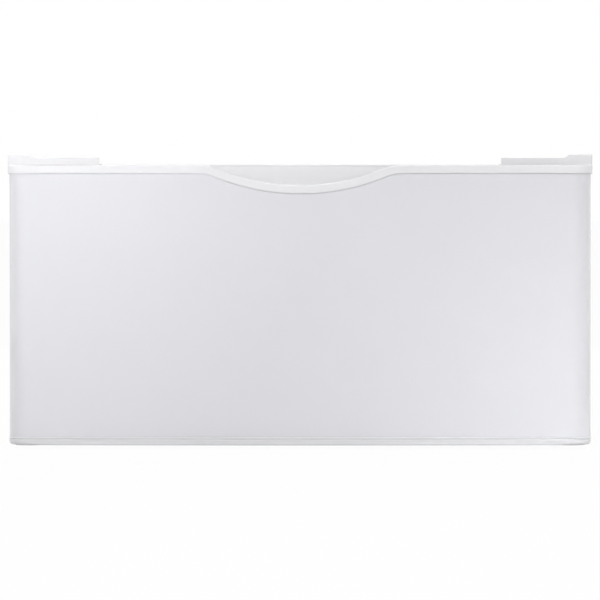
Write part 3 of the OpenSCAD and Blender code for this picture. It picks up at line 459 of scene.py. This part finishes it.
def finish_piece(obj, material, nodes):
    """Gives a piece its material, and sets it on the body of the nodes it stands for."""
    obj.data.materials.clear()
    obj.data.materials.append(material)
    smoothed(obj.data)
    flat = obj.modifiers.new("flat faces stay flat", "WEIGHTED_NORMAL")
    flat.keep_sharp = True
    settled(obj)
    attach(obj, body_of(nodes[0]))
    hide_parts(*nodes)


def from_faces(name, points, faces, recalc=False):
    """A mesh from points in millimetres; recalc welds them and turns its faces outwards."""
    mesh = bpy.data.meshes.new(name)
    mesh.from_pydata([(x * MM, y * MM, z * MM) for x, y, z in points], [], faces)
    if recalc:
        shape = bmesh.new()
        shape.from_mesh(mesh)
        bmesh.ops.remove_doubles(shape, verts=shape.verts, dist=FINE_WELD)
        bmesh.ops.recalc_face_normals(shape, faces=shape.faces)
        shape.to_mesh(mesh)
        shape.free()
    mesh.validate()
    return mesh


def lofted(name, rings):
    """A skin over equal rings of points, closed with flat caps."""
    size = len(rings[0])
    points = [p for ring in rings for p in ring]
    faces = []
    for a in range(0, len(points) - size, size):
        for k in range(size):
            n = (k + 1) % size
            faces.append((a + k, a + n, a + size + n, a + size + k))
    faces.append(tuple(range(size))[::-1])
    faces.append(tuple(len(points) - size + k for k in range(size)))
    return from_faces(name, points, faces, recalc=True)


def combined(base, tool, operation):
    """Joins a solid to an object, or cuts it out."""
    merge = base.modifiers.new("merge", "BOOLEAN")
    merge.operation, merge.solver, merge.object = operation, "EXACT", tool
    settled(base)
    bpy.data.objects.remove(tool)


def arc(radius, start, stop, steps):
    """Points of an arc round (0, 0), the angles in degrees."""
    angles = [math.radians(start + (stop - start) * i / steps) for i in range(steps + 1)]
    return [(radius * math.cos(a), radius * math.sin(a)) for a in angles]


def islands(node):
    """The lowest and highest corners of each separate solid of a node, in millimetres."""
    shape = bmesh.new()
    shape.from_mesh(NODES[node].data)
    bmesh.ops.remove_doubles(shape, verts=shape.verts, dist=WELD)
    left = set(shape.verts)
    boxes = []
    while left:
        group = [left.pop()]
        for vert in group:
            for edge in vert.link_edges:
                other = edge.other_vert(vert)
                if other in left:
                    left.remove(other)
                    group.append(other)
        low, high = (Vector([pick(v.co[i] for v in group) / MM for i in range(3)])
                     for pick in (min, max))
        boxes.append((low, high))
    shape.free()
    return sorted(boxes, key=lambda b: [round(c, 2) for c in b[0]])


def seats_of(node, aim, only=None):
    """A mesh with a point, and the axis there, at the end of each of a node's solids.

    aim gives a solid's axis from its middle, and the point is at the end that this axis meets.
    only picks the solids.
    """
    points, axes = [], []
    for low, high in islands(node):
        middle, half = (low + high) / 2, (high - low) / 2
        if only is None or only(middle):
            axis = Vector(aim(middle))
            points.append(middle + Vector([a * h for a, h in zip(axis, half)]))
            axes += list(axis)
    mesh = from_faces(node, points, [])
    mesh.attributes.new("axis", "FLOAT_VECTOR", "POINT").data.foreach_set("vector", axes)
    return mesh


def placed(name, node, mesh, form, shape, material, seed=None):
    """Sets a form at the points of a mesh, as a piece that stands for the node."""
    obj = form.run(scratch(name, mesh), form.at_points(shape, seed), material)
    finish_piece(obj, material, [node])


# ------------------------------------------------------------ sheet and bar parts

def sheet_part(node, material, edge=0.35, shortest=0.9):
    """A copy of a CAD node whose outward corners are broken round.

    edge is the width of the rounding, and a corner no longer than shortest stays sharp,
    both in millimetres.
    """
    level, bend = math.radians(0.6), 0.7        # angles between faces: one plane, and a corner
    shape = bmesh.new()
    shape.from_mesh(NODES[node].data)
    bmesh.ops.remove_doubles(shape, verts=shape.verts, dist=WELD)
    bmesh.ops.dissolve_limit(shape, angle_limit=level, verts=shape.verts, edges=shape.edges)
    weights = shape.edges.layers.float.new("bevel_weight_edge")
    for e in shape.edges:
        if (len(e.link_faces) == 2 and e.is_convex and e.calc_face_angle(0) > bend
                and e.calc_length() > shortest * MM):
            e[weights] = 1.0
    mesh = bpy.data.meshes.new(node + "_sheet")
    shape.to_mesh(mesh)
    shape.free()
    obj = scratch(node + "_sheet", mesh)
    bevel = obj.modifiers.new("broken edges", "BEVEL")
    bevel.width, bevel.segments, bevel.limit_method = edge * MM, 2, "WEIGHT"
    bevel.use_clamp_overlap = bevel.loop_slide = False
    settled(obj)
    finish_piece(obj, material, [node])


# ---------------------------------------------------------------- drawer front

trim_low, trim_high = box_of("handle_trim")
sill_low, sill_high = box_of("bottom_trim")
FRONT_Y, BACK_Y = trim_low.y, trim_high.y       # the front's foremost line and its back
TRIM_X, SILL_X, SKIN_X = trim_high.x, sill_high.x, box_of("drawer_front_skin")[1].x
TOP_Z, SILL_TOP, LOW_Z = trim_high.z, sill_high.z, sill_low.z
CROWN, CORNER_R, BAND = 8.0, 22.0, 10.3         # the front's bow, its corners, the trim's band
DIP_H, DIP_R, SHOULDER_R = 23.7, 251.0, 61.0    # depth of the dip, its hollow and its shoulders
DIP_X = math.sqrt(2 * (DIP_R + SHOULDER_R) * DIP_H - DIP_H ** 2)
LIP_BACK_Y = FRONT_Y + 12.0
CUP_WALL, CUP_DEPTH, CUP_X = 2.0, 25.0, DIP_X - 8.0
CUP_FRONT_Y, CUP_FLOOR_Z = LIP_BACK_Y + CUP_WALL, box_of("handle_cup")[0].z + CUP_WALL
CUP_R = (CUP_X ** 2 + CUP_DEPTH ** 2) / (2 * CUP_DEPTH)
CUP_CENTRE_Y = CUP_FRONT_Y + CUP_DEPTH - CUP_R
PLATE = 2.5


def dip_line(x, top, depth, hollow, shoulder, drop):
    """Height of a line that runs drop below the trim's top edge, over its dip and shoulders."""
    edge = root(2.0 * (hollow + shoulder) * depth - depth * depth)
    lower, upper = hollow + drop, shoulder - drop
    join = edge * lower / (hollow + shoulder)
    near, far = least(abs(x), join), edge - held(abs(x), join, edge)
    bottom = top - depth + hollow - root(lower * lower - near * near)
    level = root(upper * upper - (edge - join) * (edge - join))
    return bottom + root(upper * upper - far * far) - level


def dip_z(x, drop=0.0):
    return dip_line(x, TOP_Z, DIP_H, DIP_R, SHOULDER_R, drop)


def front_line(steps, half, front, crown, corner, back, fold, reach):
    """Where a line round the front lies and which way it faces, in steps of 0 to 1 each.

    The steps go along the crowned front, round the corner, back along the side, round the
    fold at its back edge and inwards along the fold.
    """
    across, turn, side, bend, inward = steps
    lean = lean_of(2.0 * crown * (half - corner) / (half * half))
    last = half - corner * (1.0 - sine(lean))
    quarter = math.pi / 2
    x = last * across
    turned, bent = (quarter - lean) * turn, quarter * bend
    start, angle = lean - quarter, lean - quarter + turned
    end_y = front + crown * (last / half) * (last / half) + corner * cosine(lean)
    y = front + crown * (x / half) * (x / half) + corner * (sine(angle) - sine(start))
    y = y + (back - fold - end_y) * side + fold * sine(bent)
    faces = lean_of(2.0 * crown * x / (half * half)) - quarter + turned + bent
    x = x + corner * (cosine(angle) - cosine(start)) + fold * (cosine(bent) - 1.0)
    x = x - reach * inward
    return x, y, cosine(faces), sine(faces)


def full_path(half, front, radius, back, counts):
    """Both halves of a line round the front, as places with their outward direction."""
    before = [sum(counts[:k]) for k in range(len(counts))]
    line = []
    for i in range(sum(counts) + 1):
        steps = [held((i - b) / n, 0.0, 1.0) for b, n in zip(before, counts)]
        line.append(front_line(steps + [0.0, 0.0], half, front, CROWN, radius, back, 0.0, 0.0))
    return [(-x, y, -nx, ny) for x, y, nx, ny in line[:0:-1]] + line


def steel_front():
    """The crowned sheet with the dip in its top edge, rounded corners and folded back edges."""
    f = Form("crowned_front", half_width=SKIN_X, front=FRONT_Y + 1.0, crown=CROWN,
             corner_radius=CORNER_R, back=BACK_Y, fold_radius=1.2, fold_width=14.0, sheet=0.8,
             broken_edge=0.25, top=TOP_Z, seam=0.12, band=BAND, dip_depth=DIP_H,
             dip_radius=DIP_R, shoulder_radius=SHOULDER_R, low=SILL_TOP + 0.1,
             front_steps=90, corner_steps=14, side_steps=3, fold_steps=3)
    counts = [f.size(s) for s in ("front_steps", "corner_steps", "side_steps", "fold_steps")] + [1]
    outline = [f.size(s) for s in (
        "half_width", "front", "crown", "corner_radius", "back", "fold_radius", "fold_width")]
    dip = [f.size(s) for s in ("top", "dip_depth", "dip_radius", "shoulder_radius", "band")]
    low, sheet, broken = (f.size(s) for s in ("low", "sheet", "broken_edge"))
    reach = counts[0] + counts[1] + counts[2] + counts[3] + counts[4]
    columns = 2 * reach + 3

    def place(column, row):
        offset = column - 1 - reach
        way, count = sign_of(offset), least(abs(offset), reach)
        steps, before = [], 0.0
        for n in counts:
            steps.append(held((count - before) / n, 0.0, 1.0))
            before = before + n
        x, y, nx, ny = front_line(steps, *outline)
        top = dip_line(x, *dip) - f.size("seam")
        sunk = [sheet, broken, 0.0, 0.0, broken, sheet, sheet]
        heights = [low, low, low + broken, top - broken, top, top, low]
        into, z = stepped(row, sunk), stepped(row, heights)
        open_end = held(column, 0.0, 1.0) * held(columns - 1 - column, 0.0, 1.0)
        into = sheet / 2 + (into - sheet / 2) * open_end
        z = (low + top) / 2 + (z - (low + top) / 2) * open_end
        return way * (x - nx * into), y - ny * into, z

    rows = 7                # round the sheet's section: as many as sunk and heights hold
    obj = scratch("steel_front", bpy.data.meshes.new("steel_front"))
    obj = f.run(obj, f.skin(columns, rows, place), ENAMEL)
    finish_piece(obj, ENAMEL, ["drawer_front_skin"])


def stacked(name, levels):
    """A solid from outlines at rising heights, capped flat at both ends."""
    return lofted(name, [[(x, y, z) for x, y in line] for z, line in levels])


def cup_line(grow, steps=44):
    """The finger cup from above, from its right front corner round the back to the left."""
    radius, front = CUP_R + grow, CUP_FRONT_Y - grow
    reach = math.acos((front - CUP_CENTRE_Y) / radius)
    angles = [reach * (1 - 2 * i / steps) for i in range(steps + 1)]
    return [(radius * math.sin(a), CUP_CENTRE_Y + radius * math.cos(a)) for a in angles]


def top_trim():
    """The moulding along the top: a rounded band that follows the dip, and the top plate."""
    round_top, round_low, side_wall, chamfer = 1.9, 0.45, 4.0, 0.4
    lip_end, turn_in = 300, 36          # where the lip's straight back ends, and how it turns in
    facing = -0.2                       # up to this y, an outward direction counts as forward
    rings = []
    for x, y, nx, ny in full_path(TRIM_X, FRONT_Y, CORNER_R + 1, BACK_Y, (110, 16, 4)):
        top, low = dip_z(x), dip_z(x, BAND)
        # the inside of the band: a straight lip behind the front, a thin wall at the sides
        share = ease((abs(x) - lip_end) / turn_in)
        ix = x - nx * side_wall * share
        iy = (1 - share) * LIP_BACK_Y + share * max(LIP_BACK_Y, y - ny * side_wall)
        iy = min(iy, BACK_Y)
        section = [(x - nx * (round_low - c), y - ny * (round_low - c), low + round_low + s)
                   for c, s in arc(round_low, -90, 0, 4)]
        section += [(x - nx * (round_top - c), y - ny * (round_top - c), top - round_top + s)
                    for c, s in arc(round_top, 0, 90, 7)]
        section += [(ix, iy - (chamfer if ny < facing else 0.0), top), (ix, iy, top - chamfer),
                    (ix, iy, low)]
        rings.append(section)
    band = scratch("top_trim", lofted("top_trim", rings))

    side, front = TRIM_X - 2.0, FRONT_Y + 10
    edge = [(side, BACK_Y), (side, front + 16), (side - 10.6, front), (DIP_X, front),
            (DIP_X, CUP_FRONT_Y)]
    outline = edge + [(-x, y) for x, y in reversed(edge)]
    plate = scratch("plate", stacked("plate", [(TOP_Z - PLATE, outline), (TOP_Z, outline)]))

    # the cup's mouth through the plate, widening in a quarter round at the top
    mouth, hole_front = 1.0, FRONT_Y + 4
    steps = [(TOP_Z - 6, 0.0)]
    steps += [(TOP_Z - mouth + s, mouth - c) for c, s in arc(mouth, 0, 75, 4)]
    steps += [(TOP_Z + 2, 1.6)]
    levels = []
    for z, grow in steps:
        line = cup_line(grow)
        levels.append((z, line + [(line[-1][0], hole_front), (line[0][0], hole_front)]))
    combined(plate, scratch("hole", stacked("hole", levels)), "DIFFERENCE")
    combined(band, plate, "UNION")
    finish_piece(band, TRIM_WHITE, ["handle_trim"])


def finger_cup():
    """The cup behind the dip, with a filleted floor."""
    fillet, across = 5.0, 24
    under, high, low = TOP_Z - PLATE, CUP_FLOOR_Z + 30, CUP_FLOOR_Z - CUP_WALL

    def ring(grow, z=under):
        back = cup_line(grow)
        left, right = back[-1], back[0]
        front = [(left[0] + (right[0] - left[0]) * i / across, left[1]) for i in range(1, across)]
        return [(x, y, z) for x, y in back] + [(x, y, min(z, dip_z(x))) for x, y in front]

    rings = [ring(-fillet + 0.4, CUP_FLOOR_Z)]
    rings += [ring(-fillet + c, CUP_FLOOR_Z + fillet + s) for c, s in arc(fillet, -85, 0, 6)]
    rings += [ring(0.0, high), ring(0.0), ring(CUP_WALL), ring(CUP_WALL, high)]
    rings += [ring(CUP_WALL - fillet + c, low + fillet + s) for c, s in arc(fillet, 0, -85, 6)]
    obj = scratch("finger_cup", lofted("finger_cup", rings))
    # the cup takes the lighter moulding: painted light that lifts the shade in the recess
    finish_piece(obj, CUP_PAINTED_LIGHT_WHITE, ["handle_cup"])


def sill_profile(round_low, low):
    """The bottom trim's face, as how far it stands out and how high, from top to bottom."""
    bead_r, ledge, groove, face = 0.75, -0.9, -0.95, -0.55
    upper = [(ledge, SILL_TOP), (ledge, SILL_TOP - 0.7)]
    upper += [(-bead_r + c, SILL_TOP - 1.7 + s) for c, s in arc(bead_r, 70, -60, 8)]
    upper += [(groove, SILL_TOP - 2.9), (groove, SILL_TOP - 3.4), (face, SILL_TOP - 3.9)]
    return upper + [(face - round_low + c, low + round_low + s)
                    for c, s in arc(round_low, 0, -90, 8)]


def bottom_trim():
    """The low band under the steel front: a bead, a groove, and a face that rounds under."""
    end_from, end_over = 290, 48                # where the band starts to change near its ends
    end_rise, round_low, end_round = 0.25, 1.6, 3.0
    side_depth, front_depth = 5.8, 2.7          # at the sides, and how much more in front
    rings = []
    for x, y, nx, ny in full_path(SILL_X, FRONT_Y + 0.5, CORNER_R + 0.5, BACK_Y, (70, 16, 4)):
        near_end = ease((abs(x) - end_from) / end_over)
        low = LOW_Z + end_rise * near_end
        depth = side_depth + front_depth * ease((-ny - 0.1) / 0.8)
        profile = sill_profile(round_low + end_round * near_end, low)
        section = [(x + nx * o, y + ny * o, z) for o, z in profile]
        ix, iy = x - nx * depth, min(y - ny * depth, BACK_Y)
        section += [(ix, iy, low), (ix, iy, SILL_TOP)]
        rings.append(section)
    obj = scratch("bottom_trim_band", lofted("bottom_trim_band", rings))
    finish_piece(obj, SILL_WHITE, ["bottom_trim"])


steel_front()
top_trim()
finger_cup()
bottom_trim()


# ------------------------------------------------------------ screws and rivets

def outward(middle):
    return (math.copysign(1.0, middle.x), 0.0, 0.0)


def inward(middle):
    return -Vector(outward(middle))


def upward(middle):
    return (0.0, 0.0, 1.0)


def recessed(f, head):
    """Cuts a cross recess into a head whose top face is at zero."""
    width, span, depth = (f.size(s) for s in ("recess_width", "recess_span", "recess_depth"))
    lift = depth * -0.25
    return f.cut(head, f.cube(span, width, depth * 1.5, lift),
                 f.cube(width, span, depth * 1.5, lift))


def shank(f, top):
    """A screw's thread, from its point up to a height inside its head."""
    return f.threaded(f.size("shank_radius"), f.size("thread_depth"), f.size("pitch"),
                      -f.size("length"), top, f.size("rows"), 16)


def pan_screw(name, length):
    """A pan-head screw whose head's top is at zero and whose point is down."""
    f = Form(name, head_radius=4.2, head_height=1.2, shank_radius=2.0, length=length, pitch=1.4,
             thread_depth=0.35, recess_width=0.9, recess_span=4.2, recess_depth=0.7, rows=44)
    r, h = f.size("head_radius"), f.size("head_height")
    head = f.turned(40, [(0.0, -h), (r * 0.98, -h), (r, h * -0.92), (r * 0.96, h * -0.6),
                         (r * 0.89, h * -0.32), (r * 0.76, h * -0.1), (r * 0.58, 0.0),
                         (0.0, 0.0)])
    return f, f.joined(recessed(f, head), shank(f, h * -0.6))


def flush_screw():
    """A countersunk screw whose flat head's top is at zero."""
    f = Form("flush_screw", head_radius=3.6, head_height=1.3, shank_radius=2.0, length=6.85,
             pitch=1.4, thread_depth=0.35, recess_width=0.9, recess_span=4.0, recess_depth=0.7,
             rows=40)
    r, h, s = f.size("head_radius"), f.size("head_height"), f.size("shank_radius")
    head = f.turned(40, [(0.0, -h), (s, -h), (r, 0.12 * -h), (r * 0.985, 0.0), (0.0, 0.0)])
    return f, f.joined(recessed(f, head), shank(f, h * -0.7))


def rivet(name, **sizes):
    """A domed rivet whose dome's top is at zero; its far end is upset and slightly hollow."""
    f = Form(name, **sizes)
    r, h, s, n = (f.size(x) for x in ("head_radius", "head_height", "shank_radius", "length"))
    return f, f.turned(36, [
        (0.0, 0.3 * h - n), (s * 0.45, 0.3 * h - n), (s * 0.6, -n), (s * 0.9, -n),
        (s, 0.15 * h - n), (s, -h), (r * 0.97, -h), (r, h * -0.85), (r * 0.93, h * -0.55),
        (r * 0.78, h * -0.27), (r * 0.55, h * -0.09), (r * 0.28, h * -0.015), (0.0, 0.0)])


def fasteners():
    """Every screw and rivet, each set on the CAD solid that it stands for."""
    rear = box_of("back_panel")[1].y - 20       # screws behind this hold the back panel
    front = -300                                # screws before this hold the drawer front

    f, screw = pan_screw("pan_screw", length=8.2)
    mesh = seats_of("cabinet_screws", lambda m: (0.0, 1.0, 0.0) if m.y > rear else outward(m))
    placed("cabinet_pan_screws", "cabinet_screws", mesh, f, screw, FASTENER, seed=11)

    f, screw = pan_screw("drawer_front_screw", length=8.2)
    mesh = seats_of("drawer_screws", lambda m: (0.0, 1.0, 0.0), lambda m: m.y < front)
    placed("drawer_front_screws", "drawer_screws", mesh, f, screw, FASTENER, seed=12)
    f, screw = pan_screw("slide_screw", length=4.4)
    mesh = seats_of("drawer_screws", inward, lambda m: m.y > front)
    placed("drawer_slide_screws", "drawer_screws", mesh, f, screw, FASTENER, seed=13)

    f, screw = flush_screw()
    mesh = seats_of("foot_seat_screws", upward)
    placed("seat_flush_screws", "foot_seat_screws", mesh, f, screw, FASTENER, seed=14)

    f, domed = rivet("slide_rivet", head_radius=4.25, head_height=1.5, shank_radius=2.5,
                     length=3.9)
    mesh = seats_of("slide_rivets", outward)
    placed("domed_slide_rivets", "slide_rivets", mesh, f, domed, FASTENER)
    f, tubular = rivet("lever_rivet", head_radius=2.5, head_height=0.8, shank_radius=2.5,
                       length=8.1)
    mesh = seats_of("lever_rivets", inward)
    placed("tubular_lever_rivets", "lever_rivets", mesh, f, tubular, FASTENER)


def front_bumper_set():
    """Rubber buttons with a soft edge and a shallow dimple."""
    f = Form("rubber_button", radius=5.0, height=3.9)
    r, h = f.size("radius"), f.size("height")
    button = f.turned(36, [(0.0, -h), (r * 0.96, -h), (r, h * -0.95), (r, h * -0.4),
                           (r * 0.95, h * -0.18), (r * 0.84, h * -0.05), (r * 0.7, 0.0),
                           (r * 0.35, 0.0), (r * 0.2, h * -0.1), (0.0, h * -0.1)])
    mesh = seats_of("front_bumpers", lambda m: (0.0, -1.0, 0.0))
    placed("rubber_bumpers", "front_bumpers", mesh, f, button, RUBBER)


def bearing_balls():
    """The rows of balls, each row one piece that travels with its cage."""
    for side in SIDES:
        for row in ("outer", "inner"):
            node = f"{side}_{row}_balls"
            f = Form("bearing_ball", radius=2.0, fineness=3)
            ball = f.node("GeometryNodeMeshIcoSphere", {}, {
                "Radius": f.size("radius"), "Subdivisions": f.size("fineness")}, "Mesh")
            mesh = seats_of(node, lambda m: (0.0, 0.0, 0.0))
            placed(f"{node}_polished", node, mesh, f, ball, BALL_STEEL)


# --------------------------------------------------------------- levelling feet

def hexagon(f, radius, low, high, bevel):
    """A hexagonal block with its corners turned off at both ends."""
    block = f.turned(6, [(0.0, low - bevel), (radius, low - bevel), (radius, high + bevel),
                         (0.0, high + bevel)])
    outer, lean = radius * 1.002, bevel * 0.55
    dish = f.turned(48, [(0.0, low), (radius - bevel, low), (outer, low + lean),
                         (outer, high - lean), (radius - bevel, high), (0.0, high)])
    return f.common(block, dish)


def nuts(name, node, height):
    """Hexagonal nuts with a countersunk bore, as one piece."""
    f = Form(name, corner_radius=9.815, height=height, bore_radius=5.05, bevel=1.6, mouth=0.7)
    r, h, bore, mouth = (f.size(s) for s in ("corner_radius", "height", "bore_radius", "mouth"))
    drill = f.turned(36, [(0.0, -1.5 * h), (bore, -1.5 * h), (bore, mouth - h), (bore, -mouth),
                          (bore + 2 * mouth, mouth), (0.0, mouth)])
    nut = f.cut(hexagon(f, r, -h, 0.0, f.size("bevel")), drill)
    placed(name + "_set", node, seats_of(node, upward), f, nut, FASTENER)


def stud(corner):
    """A threaded stud with the hexagonal collar that a spanner turns."""
    node = f"{corner}_foot_stud"
    low, high = box_of(node)
    over_pad = 0.3
    collar_low = box_of(f"{corner}_foot_pad")[1].z + over_pad - high.z
    f = Form("threaded_stud", radius=5.0, length=high.z - low.z, pitch=1.5, thread_depth=0.75,
             collar_radius=8.083, collar_low=collar_low, collar_height=5.0, collar_bevel=1.2,
             rows=312)
    rod = f.threaded(f.size("radius"), f.size("thread_depth"), f.size("pitch"),
                     -f.size("length"), 0.0, f.size("rows"), 28)
    foot = f.size("collar_low")
    collar = hexagon(f, f.size("collar_radius"), foot, foot + f.size("collar_height"),
                     f.size("collar_bevel"))
    whole = f.joined(rod, collar)
    placed(f"{corner}_threaded_stud", node, seats_of(node, upward), f, whole, FASTENER)


def pad(corner):
    """A moulded foot with a knurled rim, a hub and a socket for the stud."""
    node = f"{corner}_foot_pad"
    f = Form("foot_pad", radius=19.0, disc_height=6.0, height=9.0, hub_radius=11.0,
             bore_radius=5.05, socket_floor=3.0, recess=0.5, rounding=2.0, groove=0.45,
             grooves=36)
    r, h, hub, bore, hollow, q = (f.size(s) for s in (
        "radius", "height", "hub_radius", "bore_radius", "recess", "rounding"))
    top, under = f.size("disc_height") - h, f.size("socket_floor") - h
    profile = [(0.0, hollow - h), (hub, hollow - h), (hub + 1.2 * hollow, -h), (r - 0.9 * q, -h),
               (r - 0.4 * q, 0.2 * q - h), (r - 0.05 * q, 0.55 * q - h), (r, q - h),
               (r, top - 0.6 * q), (r - 0.2 * q, top - 0.2 * q), (r - 0.65 * q, top),
               (hub + 0.8 * q, top), (hub + 0.2 * q, top + 0.3 * q), (hub, top + 0.9 * q),
               (hub - 0.3 * q, -0.25 * q), (hub - 0.6 * q, 0.0), (bore + 0.25 * q, 0.0),
               (bore, -0.25 * q), (bore, under), (0.0, under)]
    rim_low, rim_high = 4.0, 9.0        # the rows of the profile between which the rim lies
    sharpness = 3.0

    def knurl(angle, row):
        on_rim = held(row - rim_low, 0.0, 1.0) * held(rim_high - row, 0.0, 1.0)
        ridge = sharpness * cosine(angle * f.size("grooves")) - (sharpness - 1.0)
        return f.size("groove") * on_rim * held(ridge, 0.0, 1.0)

    foot = f.turned(360, profile, knurl)
    placed(f"{corner}_moulded_pad", node, seats_of(node, upward), f, foot, RUBBER)


fasteners()
front_bumper_set()
bearing_balls()
nuts("weld_nut", "foot_weld_nuts", 8.0)
nuts("lock_nut", "foot_lock_nuts", 5.0)
for corner in CORNERS:
    stud(corner)
    pad(corner)


# ------------------------------------------------------- the rest, part by part

# the seats take the lighter enamel: painted light on their shaded front lips
for corner in CORNERS:
    sheet_part(f"{corner}_foot_seat", SEAT_PAINTED_LIGHT_WHITE, edge=0.45)
for node in ("left_side_panel", "right_side_panel", "back_panel", "top_deck",
             "drawer_back_wall", "drawer_bottom", "divider_guides", "drawer_inner_panel"):
    sheet_part(node, SHEET_WHITE, edge=0.25, shortest=1.4)
for node in ("front_divider", "rear_divider"):
    sheet_part(node, SHEET_WHITE, edge=0.25, shortest=5.0)
for side in SIDES:
    sheet_part(f"drawer_{side}_wall", SHEET_WHITE, edge=0.25, shortest=16.0)
for node in ("deck_stiffeners", "front_top_rail", "front_base_rail", "rear_base_rail",
             "left_slide_bracket", "right_slide_bracket", "corner_gussets",
             "front_stiffeners"):
    sheet_part(node, ZINC_SHEET)
for side in SIDES:
    for part in ("slide_outer_member", "slide_middle_member", "slide_inner_member"):
        sheet_part(f"{side}_{part}", SLIDE_STEEL, edge=0.3)
    sheet_part(f"{side}_release_lever", GREY_PLASTIC, edge=0.4)

materials_of_slots = {
    "white_enamel": SHEET_WHITE, "white_gloss_plastic": TRIM_WHITE,
    "galvanised_steel": ZINC_SHEET, "slide_steel": SLIDE_STEEL, "zinc_fastener": FASTENER,
    "ball_steel": BALL_STEEL, "black_rubber": RUBBER, "grey_plastic": GREY_PLASTIC}
for node, obj in NODES.items():
    obj.data.materials.clear()
    obj.data.materials.append(materials_of_slots[slot_of(node)])


# ------------------------------------------------------------ studio and camera

LENS, SENSOR = 385.5, 36.0                          # millimetres
EYE, TILT = (-0.0002, -7.856, TOP_Z * MM), 1.2064   # metres, and degrees below level
FLOOR_HALF, FLOOR_Z = 30000, -0.3                   # millimetres
FLOOR_SHADE, FLOOR_SHOWN = 0.8, 0.97                # colour, and share of white laid over it
AMBIENT = 0.32                                      # strength of the light from all around
LAMPS = [       # name, place, target, size in metres, spread in degrees, power in watts
    ("front", (0.0, -3.2, 3.0), (0.0, -0.35, 0.2), 1.0, 180, 63.0),
    ("front right", (1.8, -3.2, 2.2), (0.2, -0.35, 0.3), 0.8, 180, 4.0),
    ("key", (-0.9, -3.4, 1.9), (-0.36, -0.35, 0.42), 0.3, 15, 0.25),
    ("wide key", (-0.9, -3.4, 1.9), (-0.34, -0.35, 0.33), 0.3, 20, 0.15),
    ("low fill", (0.9, -3.4, 0.35), (0.36, -0.35, 0.02), 0.3, 12, 0.04),
    ("wide low fill", (0.9, -3.4, 0.35), (0.45, -0.35, -0.06), 0.3, 18, 0.21),
    ("right seat", (0.7, -2.6, 3.2), (0.30, -0.25, 0.34), 0.5, 5, 0.06),
    ("left", (-3.2, 1.6, 1.3), (0.0, 0.1, 0.2), 2.0, 180, 40.0),
    ("right", (3.2, 1.6, 1.3), (0.0, 0.1, 0.2), 2.0, 180, 37.0),
    ("back", (0.5, 3.4, 1.2), (0.0, 0.0, 0.2), 2.0, 180, 30.0)]


def seen_rays(tree):
    """1 for what the camera, mirrors and glass see of the surroundings."""
    camera, glossy, through = (tree.node("ShaderNodeLightPath", out=f"Is {kind} Ray")
                               for kind in ("Camera", "Glossy", "Transmission"))
    return most(camera, most(glossy, through))


def floor_finish():
    """A pale floor that the camera and mirrors see nearly white, with the object's shadow."""
    f = Finish("white_floor")
    colour = tone(FLOOR_SHADE, FLOOR_SHADE, FLOOR_SHADE)
    lit = f.node("ShaderNodeBsdfDiffuse", {}, {"Color": colour}, "BSDF")
    glow = f.node("ShaderNodeEmission", {}, {"Color": tone(1.0, 1.0, 1.0), "Strength": 1.0},
                  "Emission")
    mix = f.node("ShaderNodeMixShader", {}, {0: seen_rays(f) * FLOOR_SHOWN, 1: lit, 2: glow})
    f.node("ShaderNodeOutputMaterial", {}, {"Surface": mix})
    return f.material


def lamp(name, place, target, size, spread, power):
    light = bpy.data.lights.new(name, "AREA")
    light.size, light.spread, light.energy = size, math.radians(spread), power
    obj = scratch(name, light)
    obj.location = place
    obj.rotation_mode = "QUATERNION"
    obj.rotation_quaternion = (Vector(target) - Vector(place)).to_track_quat("-Z", "Y")
    obj.visible_camera, obj.visible_glossy = False, name == "front"


def studio():
    """The floor, the surroundings, the lamps and the camera."""
    scene = bpy.context.scene
    corners = [(x * FLOOR_HALF, y * FLOOR_HALF, FLOOR_Z)
               for x, y in ((-1, -1), (1, -1), (1, 1), (-1, 1))]
    floor = scratch("floor", from_faces("floor", corners, [(0, 1, 2, 3)]))
    floor.data.materials.append(floor_finish())

    world = bpy.data.worlds.new("studio")
    scene.world = world
    world.use_nodes = True
    world.node_tree.nodes.clear()
    sky = Tree(world.node_tree)
    strength = AMBIENT + (1.0 - AMBIENT) * seen_rays(sky)
    shade = sky.node("ShaderNodeBackground", {}, {
        "Color": tone(1.0, 1.0, 1.0), "Strength": strength}, "Background")
    sky.node("ShaderNodeOutputWorld", {}, {"Surface": shade})

    for row in LAMPS:
        lamp(*row)

    camera = bpy.data.cameras.new("camera")
    camera.lens, camera.sensor_width = LENS, SENSOR
    camera.clip_start, camera.clip_end = 0.5, 200.0
    eye = scratch("camera", camera)
    eye.location = EYE
    eye.rotation_euler = (math.radians(90 - TILT), 0.0, 0.0)
    scene.camera = eye


studio()
bpy.context.scene.view_settings.view_transform = "Standard"
